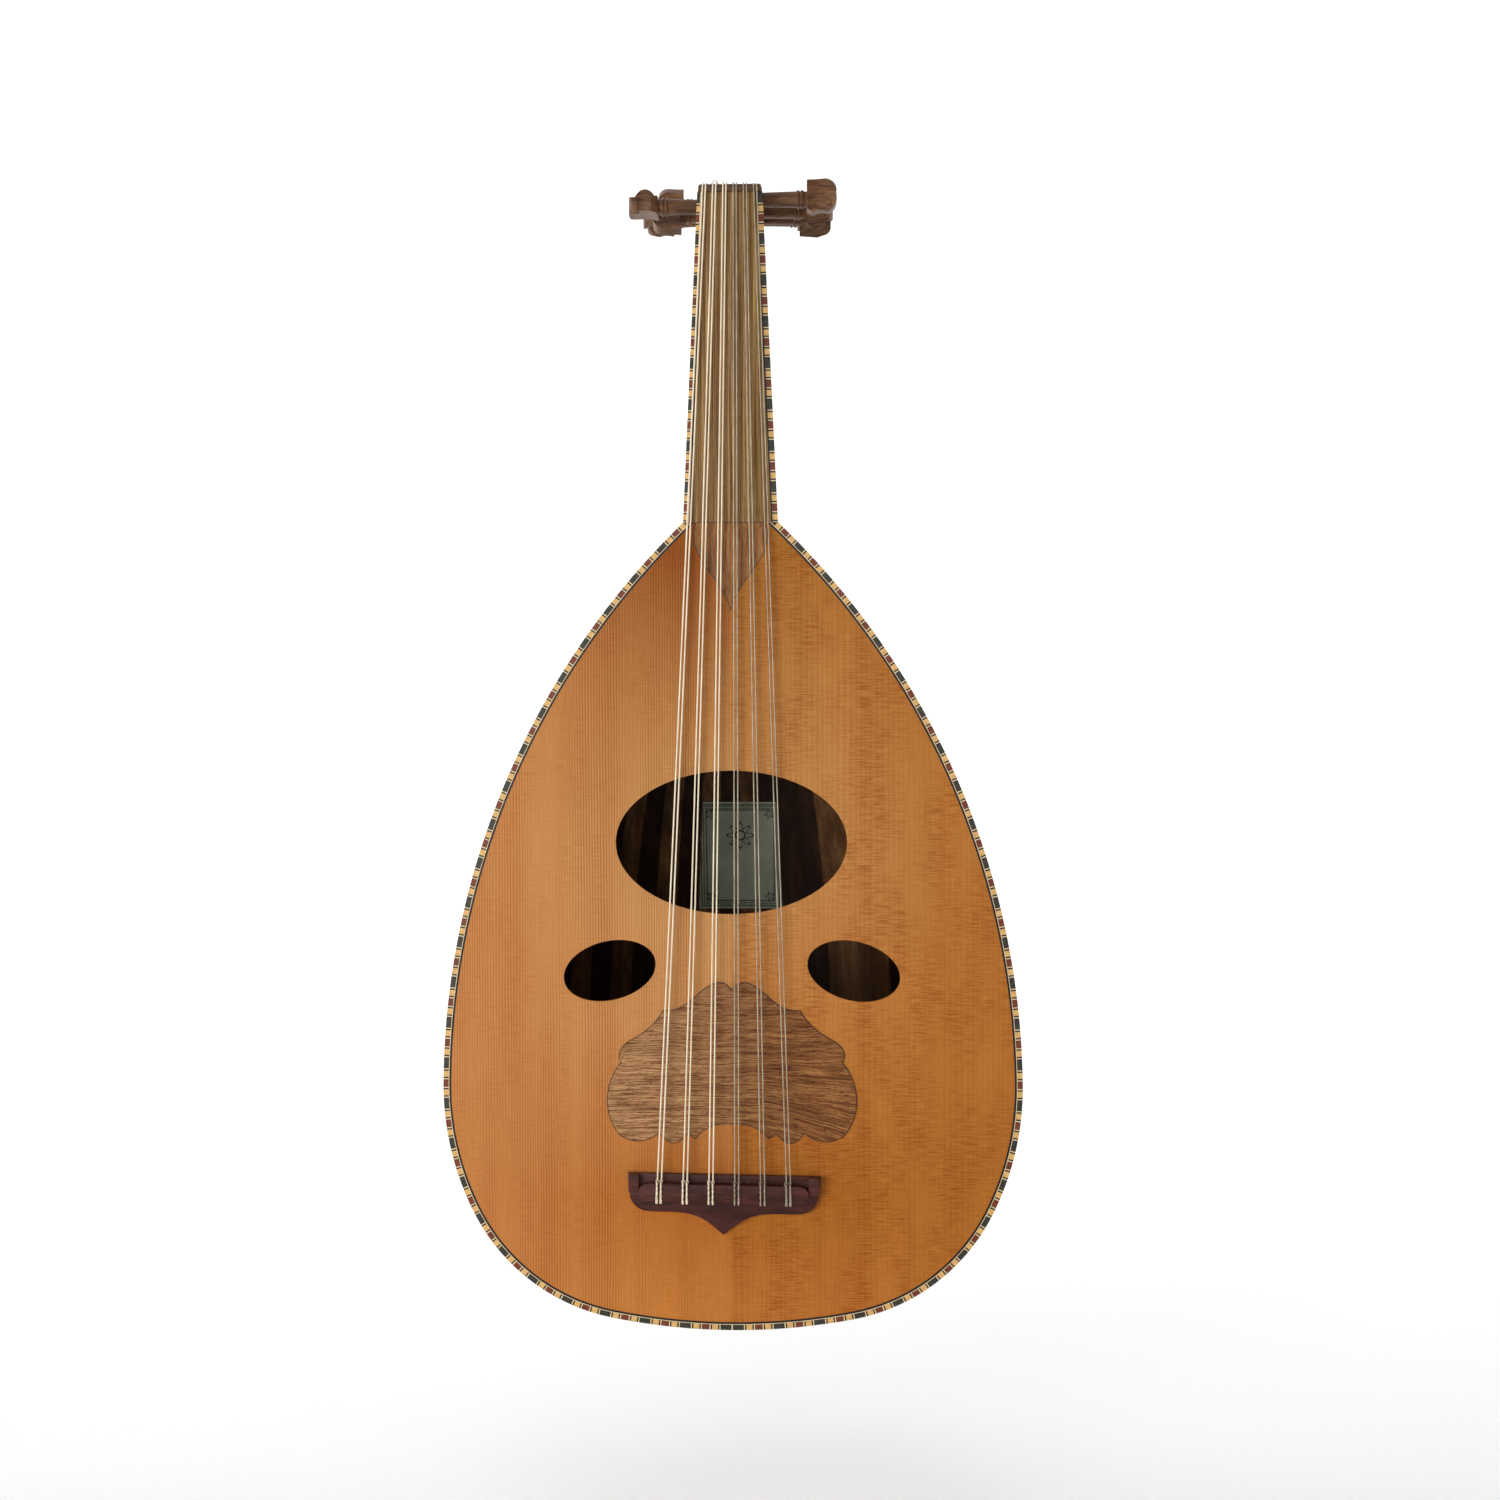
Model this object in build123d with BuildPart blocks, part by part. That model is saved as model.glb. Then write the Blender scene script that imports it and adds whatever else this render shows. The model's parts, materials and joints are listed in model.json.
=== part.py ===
"""An oud: a fretless short-necked lute with a ribbed bowl, twelve strings and a bent-back pegbox.

Frame, in millimetres: the origin is on the centre line, in the plane of the face, at the line where
the strings leave the nut. +X is to the right of a person looking at the face, +Y goes back through
the bowl, and +Z goes up the neck. The face is the plane y = 0.
"""

import os
from math import asin, atan2, cos, degrees, hypot, pi, radians, sin, sqrt, tan

from build123d import *

# Lengths along the instrument
NECK_LENGTH = 195.0
JOINT_Z = -NECK_LENGTH
BRIDGE_Z = -582.3  # the bridge's front edge

# Face, binding and shell
LAYER = 2.2  # thickness of the soundboard, fingerboard and binding
BINDING_WIDTH = 3.2
SHELL = 3.0  # thickness of a rib
RIB_COUNT = 34
SWAPPED_RIBS = (11, 14)  # two ribs, counted from the right, that break the order of light and dark
RIB_NODES = 6  # pieces written for each wood; ribs of one piece are never neighbours
RIB_TIP = 4.0  # distance from the bowl's axis at which the ribs end, under the tail clasp

# Body outline, right half, from the tail upwards: arcs that run into each other without a corner
TAIL_ARCS = ((377.0, 11.0), (117.5, 52.1), (168.5, 27.6))  # radius, degrees turned
FLANK_RADIUS = 470.5

# Neck
NECK_HALF_NUT = 19.3
NECK_HALF_JOINT = 28.25
NUT_LENGTH = 4.6
NUT_HALF_WIDTH = 18.7
NUT_RISE = 2.2  # height of the nut above the fingerboard
NUT_CROWN_RADIUS = 2.4
NUT_END_RADIUS = 1.6

# Holes in the face, as distances below the neck joint
MAIN_HOLE_DROP = 189.9
MAIN_HOLE = (68.8, 42.7)  # half width, half height
SMALL_HOLE_DROP = 266.3
SMALL_HOLE_OFFSET = 72.6
SMALL_HOLE = (28.0, 17.6)
SMALL_HOLE_TILT = 14.0

# Inlaid point of the fingerboard: half outline as (half width, distance below the joint)
POINT_DEPTH = 1.2
POINT_CURVE = ((20.5, 0.0), (22.0, 10.5), (14.5, 27.0), (4.2, 42.0), (0.0, 52.8))

# Raqma, the plate under the strings: half outline, curve by curve, in the same terms
RAQMA_THICKNESS = 0.6
RAQMA_CURVES = (
    ((0.0, 277.5), (8.0, 273.0), (15.5, 276.3), (27.0, 285.8), (40.9, 289.4)),
    ((40.9, 289.4), (46.4, 297.5), (56.0, 305.2), (64.0, 310.3), (67.0, 315.0), (66.0, 320.7)),
    ((66.0, 320.7), (73.4, 335.5), (74.4, 344.5), (72.2, 355.4), (66.8, 364.4)),
    ((66.8, 364.4), (58.6, 367.9), (43.2, 363.1)),
    ((43.2, 363.1), (34.8, 369.1), (26.4, 363.3)),
    ((26.4, 363.3), (21.9, 366.4)),
    ((21.9, 366.4), (12.5, 359.3), (0.0, 357.7)),
)

# Bridge
BRIDGE_OFFSET = -4.5  # the bridge sits a little left of the centre line
BRIDGE_TILT = 0.95  # degrees, the right end lower
BRIDGE_HALF_WIDTH = 57.4
BRIDGE_CORNER = (56.2, 12.0)  # where the straight end turns into the round corner
BRIDGE_CORNER_HEADING = (-0.1, -1)
# Rear edge from the round corner to the point, as (half width, distance below the front edge)
BRIDGE_REAR = ((45.2, 22.4), (24.0, 23.0), (14.5, 25.4), (0.0, 35.5))
BRIDGE_REAR_HEADINGS = ((-1, -0.05), (-1, -0.8))
APRON_HEIGHT = 3.2
RECESS_DEPTH = 4.6  # from the front edge to the tie bar
TIE_BAR = (100.5, 10.2)
TIE_BAR_HEIGHT = 9.6
END_BLOCK = (6.2, 10.5)
END_BLOCK_HEIGHT = 7.0
END_BLOCK_INSET = 0.9

# Bars glued under the soundboard, as distances below the joint
BAR_DROPS = (60.0, 118.0, 240.5, 292.0, 340.0, 380.0, 435.0)
BAR_WIDTH = 6.0
BAR_HEIGHT = 14.0
BAR_END_HEIGHT = 5.0
BAR_END_LENGTH = 28.0
BAR_GAP = 1.6  # between a bar's end and the ribs

# Strings, left to right; each course is a pair
STRING_DIAMETERS = (1.0, 1.0, 0.95, 0.95, 0.9, 0.9, 0.85, 0.85, 0.8, 0.8, 0.75, 0.75)
COURSE_COUNT = 6
NUT_COURSE_SPACING = 6.0
NUT_PAIR_GAP = 1.8
BRIDGE_COURSE_SPACING = 15.3
BRIDGE_PAIR_GAP = 2.4
STRING_RISE_NUT = 2.0  # height of a string's axis above the face
STRING_RISE_BRIDGE = 6.4
STRING_BEND = 3.0
STRING_SLOT_CLEARANCE = 0.05
STRING_TAIL = 1.2  # length past the tie bar
TIE_GAP = 0.9  # from the tie bar's faces to the axis of the loop tied round it
TIE_BEND = 0.8
TIE_SHARE = 0.8  # thickness of the loop, as a share of the string's

# Pegbox: it leaves the nut at a right angle to the neck and curves upwards
PEG_COUNT = 12
FIRST_PEG = (18.0, 0.3)  # y, z of the first peg's axis
PEG_PITCH = 14.0
PEGBOX_RADIUS = 294.0
PEGBOX_HALF_NUT = 19.2
PEGBOX_TAPER = 0.0426
PEGBOX_WALL = 5.5
PEGBOX_WALL_NUT = 2.0  # the walls thin out towards the nut, to let the outer strings in
PEGBOX_THROAT_RUN = 32.0  # the length over which they do
PEGBOX_FLOOR = 5.0
PEGBOX_END_RUN = 17.0  # from the last peg's axis to the pegbox's end
PEGBOX_FAR_Y = 220.0  # beyond the pegbox's end
PEGBOX_SPAN = (-60.0, 120.0)  # a height range that takes in the whole pegbox
NAPE = (LAYER + NECK_HALF_NUT, -15.7)  # y, z of the corner between the neck's back and the pegbox
THROAT_Z = 3.4  # top of the pegbox where it starts, behind the nut
THROAT = (13.0, 6.2)  # y, z of a point on the rim between the nut and the first peg
# Outlines beside the peg line, as (run from the first peg, rise towards the open edge)
PEGBOX_BACK = ((45.0, -15.0), (110.0, -12.5))
PEGBOX_RIM = ((110.0, 9.5), (48.0, 9.5), (14.0, 8.8))
PEGBOX_END_BACK = -9.0
PEGBOX_END_RIM = 9.0
FLOOR_START = (6.0, -10.8)
FLOOR_START_Y = 4.0
END_BLOCK_RUN = 8.0
END_BLOCK_RIM = 7.0

# Pegs, one value for each, from the nut to the pegbox's end; even ones have their head on the right
PEG_COLLAR_RUNS = (21.0, 21.0, 20.4, 10.0, 20.8, 19.4, 20.0, 20.6, 19.6, 20.2, 20.8, 19.8)
PEG_TURNS = (0, 270, 55, 20, 130, 75, 160, 35, 100, 60, 10, 145)  # degrees each peg is turned
COIL_REACH = (13.2, 11.8, 8.4, 7.6, 6.6, 6.2, 5.2, 5.0, 3.4, 3.4, 1.8, 1.8)  # centre line to its hole
PEG_COLLAR_RADIUS = 4.8
PEG_TAPER = 0.026
PEG_TIP_RUN = 1.5
PEG_CLEARANCE = 0.05
PEG_HOLE_RADIUS = 0.7
COIL_GAP = 0.35  # from a peg's surface to the last point of its string

# Heads of the pegs: two ring beads, a short neck, and a blade with hollow faces
BEAD_STARTS = (0.0, 2.4)
BEAD_WIDTH = 1.6
BEAD_HEIGHT = 0.8
PEG_NECK_RUN = 6.0  # from the collar to the head
PEG_NECK_RADIUS = 4.5
# Broad face of a blade, as (distance out from the head's start, height): straight edges, then arcs
BLADE_EDGES = ((3.6, -8.8), (0.0, -6.4), (0.0, 10.4), (10.8, 11.4))
BLADE_ARCS = (
    ((10.8, 11.4), (15.9, 9.0), (17.6, 2.0)),
    ((17.6, 2.0), (16.8, -4.6), (12.6, -7.8)),
    ((12.6, -7.8), (8.0, -7.4), (3.6, -8.8)),
)
BLADE_HALF = 5.4
HOLLOW_RADIUS = 26.0
HOLLOW_OFFSET = 30.0  # from the blade's middle plane to the axis of the hollow
HOLLOW_X = 9.0
EAR = (7.4, 10.4)  # half length and half height of the upright ear on the back of the blade
EAR_X = 8.0
EAR_HALF = 2.6
EYE = (13.2, -3.8)
EYE_RADIUS = 1.8
EYE_SUNK = 0.3  # how far the scroll eye stands below the blade's thickest point
HEAD_OVERLAP = 2.0  # how far the neck reaches into the head

# Label inside the bowl
LABEL_DROP = 208.7
LABEL_HALF_HEIGHT = 37.0
LABEL_WIDTH = 54.0
LABEL_THICKNESS = 0.3

# Blocks inside the bowl and the clasp over the ribs' ends
NECK_BLOCK_LENGTH = 38.0
TAIL_BLOCK_LENGTH = 26.0
CLASP_THICKNESS = 0.8
CLASP_RADIUS = 45.0


def body_chain():
    """Each arc of the right half outline as (centre x, centre z, radius, start angle, sweep)."""
    x, z, heading = 0.0, 0.0, 0.0
    arcs = []
    for radius, turn in TAIL_ARCS:
        centre = (x - radius * sin(heading), z + radius * cos(heading))
        arcs.append((centre, radius, heading, radians(turn)))
        heading += radians(turn)
        x = centre[0] + radius * sin(heading)
        z = centre[1] - radius * cos(heading)
    centre = (x - FLANK_RADIUS * sin(heading), z + FLANK_RADIUS * cos(heading))
    end_heading = pi - asin((NECK_HALF_JOINT - centre[0]) / FLANK_RADIUS)
    arcs.append((centre, FLANK_RADIUS, heading, end_heading - heading))
    rise = JOINT_Z - (centre[1] - FLANK_RADIUS * cos(end_heading))
    return [(cx, cz + rise, radius, start, sweep) for (cx, cz), radius, start, sweep in arcs]


BODY_CHAIN = body_chain()
TAIL_Z = BODY_CHAIN[0][1] - BODY_CHAIN[0][2]


def half_width(z):
    """Half the body's width at height z."""
    for cx, cz, radius, start, sweep in BODY_CHAIN:
        if z <= cz - radius * cos(start + sweep) + 1e-6:
            return cx + sqrt(radius**2 - (z - cz) ** 2)
    return NECK_HALF_JOINT


def face_plane(depth):
    """A plane parallel to the face, at the given depth behind it, looking forwards."""
    return Plane.XZ.offset(-depth)


def radial_plane(angle):
    """A half plane through the bowl's axis: its x runs outwards at the angle, its y up the neck."""
    x_dir = (cos(radians(angle)), sin(radians(angle)), 0)
    z_dir = (sin(radians(angle)), -cos(radians(angle)), 0)
    return Plane(origin=(0, LAYER, 0), x_dir=x_dir, z_dir=z_dir)


BOWL_AXIS = Axis((0, LAYER, 0), (0, 0, 1))


def draw_chain(inset):
    """Draw the right half of the outline, moved inwards, and return its two ends."""
    arcs = []
    for cx, cz, radius, start, sweep in BODY_CHAIN:
        arcs.append(CenterArc((cx, cz), radius - inset, degrees(start) - 90, degrees(sweep)))
    return arcs[0] @ 0, arcs[-1] @ 1


def ring_profile(outer_inset, inner_inset):
    """The band between two insets of the right half outline."""
    with BuildSketch() as profile:
        with BuildLine():
            outer_low, outer_high = draw_chain(outer_inset)
            inner_low, inner_high = draw_chain(inner_inset)
            Line(outer_low, inner_low)
            Line(outer_high, inner_high)
        make_face()
    return profile.sketch


def cavity_profile():
    """The right half of the space inside the ribs, up to the joint."""
    with BuildSketch() as profile:
        with BuildLine():
            low, high = draw_chain(SHELL)
            Polyline(high, (NECK_HALF_JOINT, JOINT_Z), (0, JOINT_Z), low)
        make_face()
    return profile.sketch


def plate_profile():
    """The right half of the soundboard, inside the binding."""
    with BuildSketch() as profile:
        with BuildLine():
            low, high = draw_chain(BINDING_WIDTH)
            Polyline(high, (NECK_HALF_JOINT - BINDING_WIDTH, JOINT_Z), (0, JOINT_Z), low)
        make_face()
    return profile.sketch


def binding_profile():
    """The right half of the body's binding, with the mitre at the joint."""
    with BuildSketch() as profile:
        with BuildLine():
            outer_low, outer_high = draw_chain(0)
            inner_low, inner_high = draw_chain(BINDING_WIDTH)
            Line(outer_low, inner_low)
            Polyline(outer_high, (NECK_HALF_JOINT - BINDING_WIDTH, JOINT_Z), inner_high)
        make_face()
    return profile.sketch


def drop_point(point):
    """A point given as (half width, distance below the joint), in the face's own x and z."""
    return (point[0], JOINT_Z - point[1])


def mirrored(profile):
    """A right half profile and its mirror image as one face."""
    with BuildSketch() as both:
        add(profile)
        mirror(about=Plane.YZ)
    return both.sketch


def point_profile():
    """The spade-shaped point of the fingerboard."""
    with BuildSketch() as profile:
        with BuildLine():
            edge = Spline([drop_point(p) for p in POINT_CURVE])
            Polyline(edge @ 1, (0, JOINT_Z), edge @ 0)
        make_face()
    return mirrored(profile.sketch)


def raqma_profile():
    """The lobed outline of the raqma."""
    with BuildSketch() as profile:
        with BuildLine():
            for curve in RAQMA_CURVES:
                points = [drop_point(p) for p in curve]
                if len(points) > 2:
                    Spline(points)
                else:
                    Line(points)
            Line(drop_point(RAQMA_CURVES[-1][-1]), drop_point(RAQMA_CURVES[0][0]))
        make_face()
    return mirrored(profile.sketch)


def finish(builder, name):
    """Label a finished piece and write it."""
    builder.part.label = name
    export_step(builder.part, f"parts/{name}.step")


os.makedirs("parts", exist_ok=True)

# ---------------------------------------------------------------- bowl

rib_angle = 180 / RIB_COUNT
for tone, tone_name in enumerate(("light", "dark")):
    tone_ribs = [rib for rib in range(RIB_COUNT) if (rib + (rib in SWAPPED_RIBS)) % 2 == tone]
    for node_index in range(RIB_NODES):
        with BuildPart() as ribs:
            for rib_index in tone_ribs[node_index::RIB_NODES]:
                with BuildSketch(radial_plane(rib_index * rib_angle)):
                    add(ring_profile(0, SHELL))
                    with Locations((0, TAIL_Z)):
                        Rectangle(2 * RIB_TIP, 4 * SHELL, mode=Mode.SUBTRACT)
                revolve(axis=BOWL_AXIS, revolution_arc=rib_angle)
        finish(ribs, f"ribs_{tone_name}_{node_index + 1}")

with BuildPart() as neck_block:
    with BuildSketch(radial_plane(0)):
        add(cavity_profile())
        with Locations((0, JOINT_Z)):
            Rectangle(4 * NECK_HALF_JOINT, 2 * NECK_BLOCK_LENGTH, mode=Mode.INTERSECT)
    revolve(axis=BOWL_AXIS, revolution_arc=180)
finish(neck_block, "neck_block")

with BuildPart() as tail_block:
    with BuildSketch(radial_plane(0)):
        add(cavity_profile())
        with Locations((0, TAIL_Z)):
            Rectangle(2 * CLASP_RADIUS, 2 * TAIL_BLOCK_LENGTH, mode=Mode.INTERSECT)
    revolve(axis=BOWL_AXIS, revolution_arc=180)
finish(tail_block, "tail_block")

with BuildPart() as tail_clasp:
    with BuildSketch(radial_plane(0)):
        add(ring_profile(-CLASP_THICKNESS, 0))
        with Locations((0, TAIL_Z)):
            Rectangle(2 * CLASP_RADIUS, 2 * CLASP_RADIUS, mode=Mode.INTERSECT)
    revolve(axis=BOWL_AXIS, revolution_arc=180)
finish(tail_clasp, "tail_clasp")

label_z = JOINT_Z - LABEL_DROP
label_angle = degrees(LABEL_WIDTH / (half_width(label_z) - SHELL))
with BuildPart() as label:
    with BuildSketch(radial_plane(90 - label_angle / 2)):
        add(ring_profile(SHELL, SHELL + LABEL_THICKNESS))
        with Locations((half_width(label_z), label_z)):
            Rectangle(half_width(label_z), 2 * LABEL_HALF_HEIGHT, mode=Mode.INTERSECT)
    revolve(axis=BOWL_AXIS, revolution_arc=label_angle)
finish(label, "label")

# ---------------------------------------------------------------- face

for side, side_name in ((-1, "left"), (1, "right")):
    with BuildPart() as soundboard_half:
        with BuildSketch(face_plane(LAYER)):
            if side > 0:
                add(plate_profile())
            else:
                add(plate_profile().mirror(Plane.YZ))
            with Locations((0, JOINT_Z - MAIN_HOLE_DROP)):
                Ellipse(*MAIN_HOLE, mode=Mode.SUBTRACT)
            with Locations((side * SMALL_HOLE_OFFSET, JOINT_Z - SMALL_HOLE_DROP)):
                Ellipse(*SMALL_HOLE, rotation=-side * SMALL_HOLE_TILT, mode=Mode.SUBTRACT)
        extrude(amount=LAYER)
        with BuildSketch(face_plane(POINT_DEPTH)):
            add(point_profile())
        extrude(amount=POINT_DEPTH, mode=Mode.SUBTRACT)
    finish(soundboard_half, f"soundboard_{side_name}")

with BuildPart() as soundboard_bars:
    for drop in BAR_DROPS:
        bar_z = JOINT_Z - drop
        narrowest = min(half_width(bar_z - BAR_WIDTH / 2), half_width(bar_z + BAR_WIDTH / 2))
        reach = narrowest - SHELL - BAR_GAP
        with BuildSketch(Plane.XY.offset(bar_z - BAR_WIDTH / 2)):
            Polygon(
                (-reach, LAYER),
                (reach, LAYER),
                (reach, LAYER + BAR_END_HEIGHT),
                (reach - BAR_END_LENGTH, LAYER + BAR_HEIGHT),
                (BAR_END_LENGTH - reach, LAYER + BAR_HEIGHT),
                (-reach, LAYER + BAR_END_HEIGHT),
                align=None,
            )
        extrude(amount=BAR_WIDTH)
finish(soundboard_bars, "soundboard_bars")

with BuildPart() as body_binding:
    with BuildSketch(face_plane(LAYER)):
        add(binding_profile())
    extrude(amount=LAYER)
    mirror(about=Plane.YZ)
finish(body_binding, "body_binding")

with BuildPart() as fingerboard_point:
    with BuildSketch(face_plane(POINT_DEPTH)):
        add(point_profile())
    extrude(amount=POINT_DEPTH)
finish(fingerboard_point, "fingerboard_point")

with BuildPart() as raqma:
    with BuildSketch(face_plane(0)):
        add(raqma_profile())
    extrude(amount=RAQMA_THICKNESS)
finish(raqma, "raqma")

# ---------------------------------------------------------------- neck

with BuildPart() as neck:
    with BuildSketch(radial_plane(0)):
        Polygon((0, 0), (NECK_HALF_NUT, 0), (NECK_HALF_JOINT, JOINT_Z), (0, JOINT_Z), align=None)
    revolve(axis=BOWL_AXIS, revolution_arc=180)
    nape_slope = NAPE[1] / (NAPE[0] - LAYER)
    cut_y = NAPE[0] + NECK_HALF_NUT
    with BuildSketch(Plane.YZ):
        Polygon((LAYER, 0), (cut_y, nape_slope * (cut_y - LAYER)), (cut_y, 0), align=None)
    extrude(amount=2 * NECK_HALF_NUT, both=True, mode=Mode.SUBTRACT)
finish(neck, "neck")

with BuildPart() as fingerboard:
    with BuildSketch(face_plane(LAYER)):
        board_nut = NECK_HALF_NUT - BINDING_WIDTH
        board_joint = NECK_HALF_JOINT - BINDING_WIDTH
        Polygon(
            (-board_nut, 0),
            (board_nut, 0),
            (board_joint, JOINT_Z),
            (-board_joint, JOINT_Z),
            align=None,
        )
    extrude(amount=LAYER)
finish(fingerboard, "fingerboard")

with BuildPart() as neck_binding:
    with BuildSketch(face_plane(LAYER)):
        Polygon(
            (NECK_HALF_NUT, 0),
            (NECK_HALF_JOINT, JOINT_Z),
            (NECK_HALF_JOINT - BINDING_WIDTH, JOINT_Z),
            (NECK_HALF_NUT - BINDING_WIDTH, 0),
            align=None,
        )
    extrude(amount=LAYER)
    mirror(about=Plane.YZ)
finish(neck_binding, "neck_binding")

# ---------------------------------------------------------------- pegs and pegbox geometry


def pegbox_point(run, rise=0.0):
    """(y, z) at a run along the peg line from the first peg, raised towards the open edge."""
    turn = run / PEGBOX_RADIUS
    reach = PEGBOX_RADIUS - rise
    return (FIRST_PEG[0] + reach * sin(turn), FIRST_PEG[1] + PEGBOX_RADIUS - reach * cos(turn))


def pegbox_half_width(y):
    """Half the pegbox's outer width at depth y."""
    return PEGBOX_HALF_NUT - PEGBOX_TAPER * (y - LAYER)


def peg_radius(peg_y, x):
    """Radius of a peg's shaft at x, with x positive towards its head."""
    return PEG_COLLAR_RADIUS - PEG_TAPER * (pegbox_half_width(peg_y) + max(PEG_COLLAR_RUNS) - x)


def collar_reach(index):
    """Distance of a peg's collar from the centre line."""
    return pegbox_half_width(pegbox_point(index * PEG_PITCH)[0]) + PEG_COLLAR_RUNS[index]


def shaft_profile(index, margin):
    """The shaft of a peg as (x, radius) corners, with x positive towards the head."""
    peg_y = pegbox_point(index * PEG_PITCH)[0]
    tip_x = -pegbox_half_width(peg_y) - PEG_TIP_RUN
    collar_x = collar_reach(index)
    tip_radius = peg_radius(peg_y, tip_x) + margin
    collar_radius = peg_radius(peg_y, collar_x) + margin
    return ((tip_x, 0), (tip_x, tip_radius), (collar_x, collar_radius), (collar_x, 0))


def peg_side(index):
    """1 for a peg whose head is on the right, -1 for one whose head is on the left."""
    return 1 if index % 2 == 0 else -1


def shaft_plane(index):
    """The plane of a peg's axis: x runs towards its head, y up."""
    y, z = pegbox_point(index * PEG_PITCH)
    side = peg_side(index)
    return Plane(origin=(0, y, z), x_dir=(side, 0, 0), z_dir=(0, -side, 0))


def peg_axis(index):
    y, z = pegbox_point(index * PEG_PITCH)
    return Axis((0, y, z), (1, 0, 0))


def coil_x(index):
    """Where along the peg its string is wound, measured from the centre line."""
    return peg_side(index) * COIL_REACH[index]


LAST_RUN = (PEG_COUNT - 1) * PEG_PITCH
END_RUN = LAST_RUN + PEGBOX_END_RUN


def wall_outline():
    """Side view of a pegbox wall, drawn in the y and z of the centre plane."""
    back_end = pegbox_point(END_RUN, PEGBOX_END_BACK)
    rim_end = pegbox_point(END_RUN, PEGBOX_END_RIM)
    with BuildSketch() as profile:
        with BuildLine():
            Polyline((LAYER, THROAT_Z), (LAYER, 0), NAPE)
            Spline(NAPE, *[pegbox_point(*point) for point in PEGBOX_BACK], back_end)
            Line(back_end, rim_end)
            Spline(rim_end, *[pegbox_point(*point) for point in PEGBOX_RIM], THROAT, (LAYER, THROAT_Z))
        make_face()
    return profile.sketch


def floor_outline():
    """Side view of the pegbox floor."""
    back_end = pegbox_point(END_RUN, PEGBOX_END_BACK)
    top_end = pegbox_point(END_RUN, PEGBOX_END_BACK + PEGBOX_FLOOR)
    top = [pegbox_point(run, rise + PEGBOX_FLOOR) for run, rise in reversed(PEGBOX_BACK)]
    top_start = pegbox_point(*FLOOR_START)
    with BuildSketch() as profile:
        with BuildLine():
            Polyline((LAYER, THROAT_Z), (LAYER, 0), NAPE)
            Spline(NAPE, *[pegbox_point(*point) for point in PEGBOX_BACK], back_end)
            Line(back_end, top_end)
            Spline(top_end, *top, top_start)
            Polyline(top_start, (FLOOR_START_Y, THROAT_Z), (LAYER, THROAT_Z))
        make_face()
    return profile.sketch


def plan_profile(nut_wall, wall):
    """Plan view of the pegbox inside walls of the given thicknesses at the nut and beyond."""
    stations = ((LAYER, nut_wall), (LAYER + PEGBOX_THROAT_RUN, wall), (PEGBOX_FAR_Y, wall))
    right = [(pegbox_half_width(y) - thickness, y) for y, thickness in stations]
    left = [(-x, y) for x, y in reversed(right)]
    with BuildSketch() as profile:
        Polygon(*right, *left, align=None)
    return profile.sketch


for side, side_name in ((-1, "left"), (1, "right")):
    with BuildPart() as pegbox_side:
        with BuildSketch(Plane.YZ):
            add(wall_outline())
        extrude(amount=side * 2 * NECK_HALF_NUT)
        with BuildSketch(Plane.XY.offset(PEGBOX_SPAN[0])):
            add(plan_profile(0, 0))
        extrude(amount=PEGBOX_SPAN[1] - PEGBOX_SPAN[0], mode=Mode.INTERSECT)
        with BuildSketch(Plane.XY.offset(PEGBOX_SPAN[0])):
            add(plan_profile(PEGBOX_WALL_NUT, PEGBOX_WALL))
        extrude(amount=PEGBOX_SPAN[1] - PEGBOX_SPAN[0], mode=Mode.SUBTRACT)
        for peg_index in range(PEG_COUNT):
            with BuildSketch(shaft_plane(peg_index)):
                Polygon(*shaft_profile(peg_index, PEG_CLEARANCE), align=None)
            revolve(axis=peg_axis(peg_index), mode=Mode.SUBTRACT)
    finish(pegbox_side, f"pegbox_{side_name}_side")

with BuildPart() as pegbox_floor:
    with BuildSketch(Plane.YZ):
        add(floor_outline())
    extrude(amount=NECK_HALF_NUT, both=True)
    with BuildSketch(Plane.XY.offset(PEGBOX_SPAN[0])):
        add(plan_profile(PEGBOX_WALL_NUT, PEGBOX_WALL))
    extrude(amount=PEGBOX_SPAN[1] - PEGBOX_SPAN[0], mode=Mode.INTERSECT)
finish(pegbox_floor, "pegbox_floor")

with BuildPart() as pegbox_end:
    with BuildSketch(Plane.YZ):
        Polygon(
            pegbox_point(END_RUN - END_BLOCK_RUN, PEGBOX_END_BACK + PEGBOX_FLOOR),
            pegbox_point(END_RUN, PEGBOX_END_BACK + PEGBOX_FLOOR),
            pegbox_point(END_RUN, PEGBOX_END_RIM),
            pegbox_point(END_RUN - END_BLOCK_RUN, END_BLOCK_RIM),
            align=None,
        )
    extrude(amount=NECK_HALF_NUT, both=True)
    with BuildSketch(Plane.XY.offset(PEGBOX_SPAN[0])):
        add(plan_profile(PEGBOX_WALL_NUT, PEGBOX_WALL))
    extrude(amount=PEGBOX_SPAN[1] - PEGBOX_SPAN[0], mode=Mode.INTERSECT)
finish(pegbox_end, "pegbox_end")


# ---------------------------------------------------------------- strings


def course_x(index, spacing, gap):
    """Distance of a string from the middle of the set."""
    course, member = divmod(index, 2)
    return (course - (COURSE_COUNT - 1) / 2) * spacing + (member - 0.5) * gap


def string_peg(index):
    """The peg that takes a string: the outer strings go to the pegs nearest the nut."""
    from_edge = min(index, PEG_COUNT - 1 - index)
    return 2 * from_edge + (1 if index < COURSE_COUNT else 0)


def bar_front(x):
    """Height of the tie bar's front face."""
    return BRIDGE_Z - RECESS_DEPTH - (x - BRIDGE_OFFSET) * tan(radians(BRIDGE_TILT))


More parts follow.
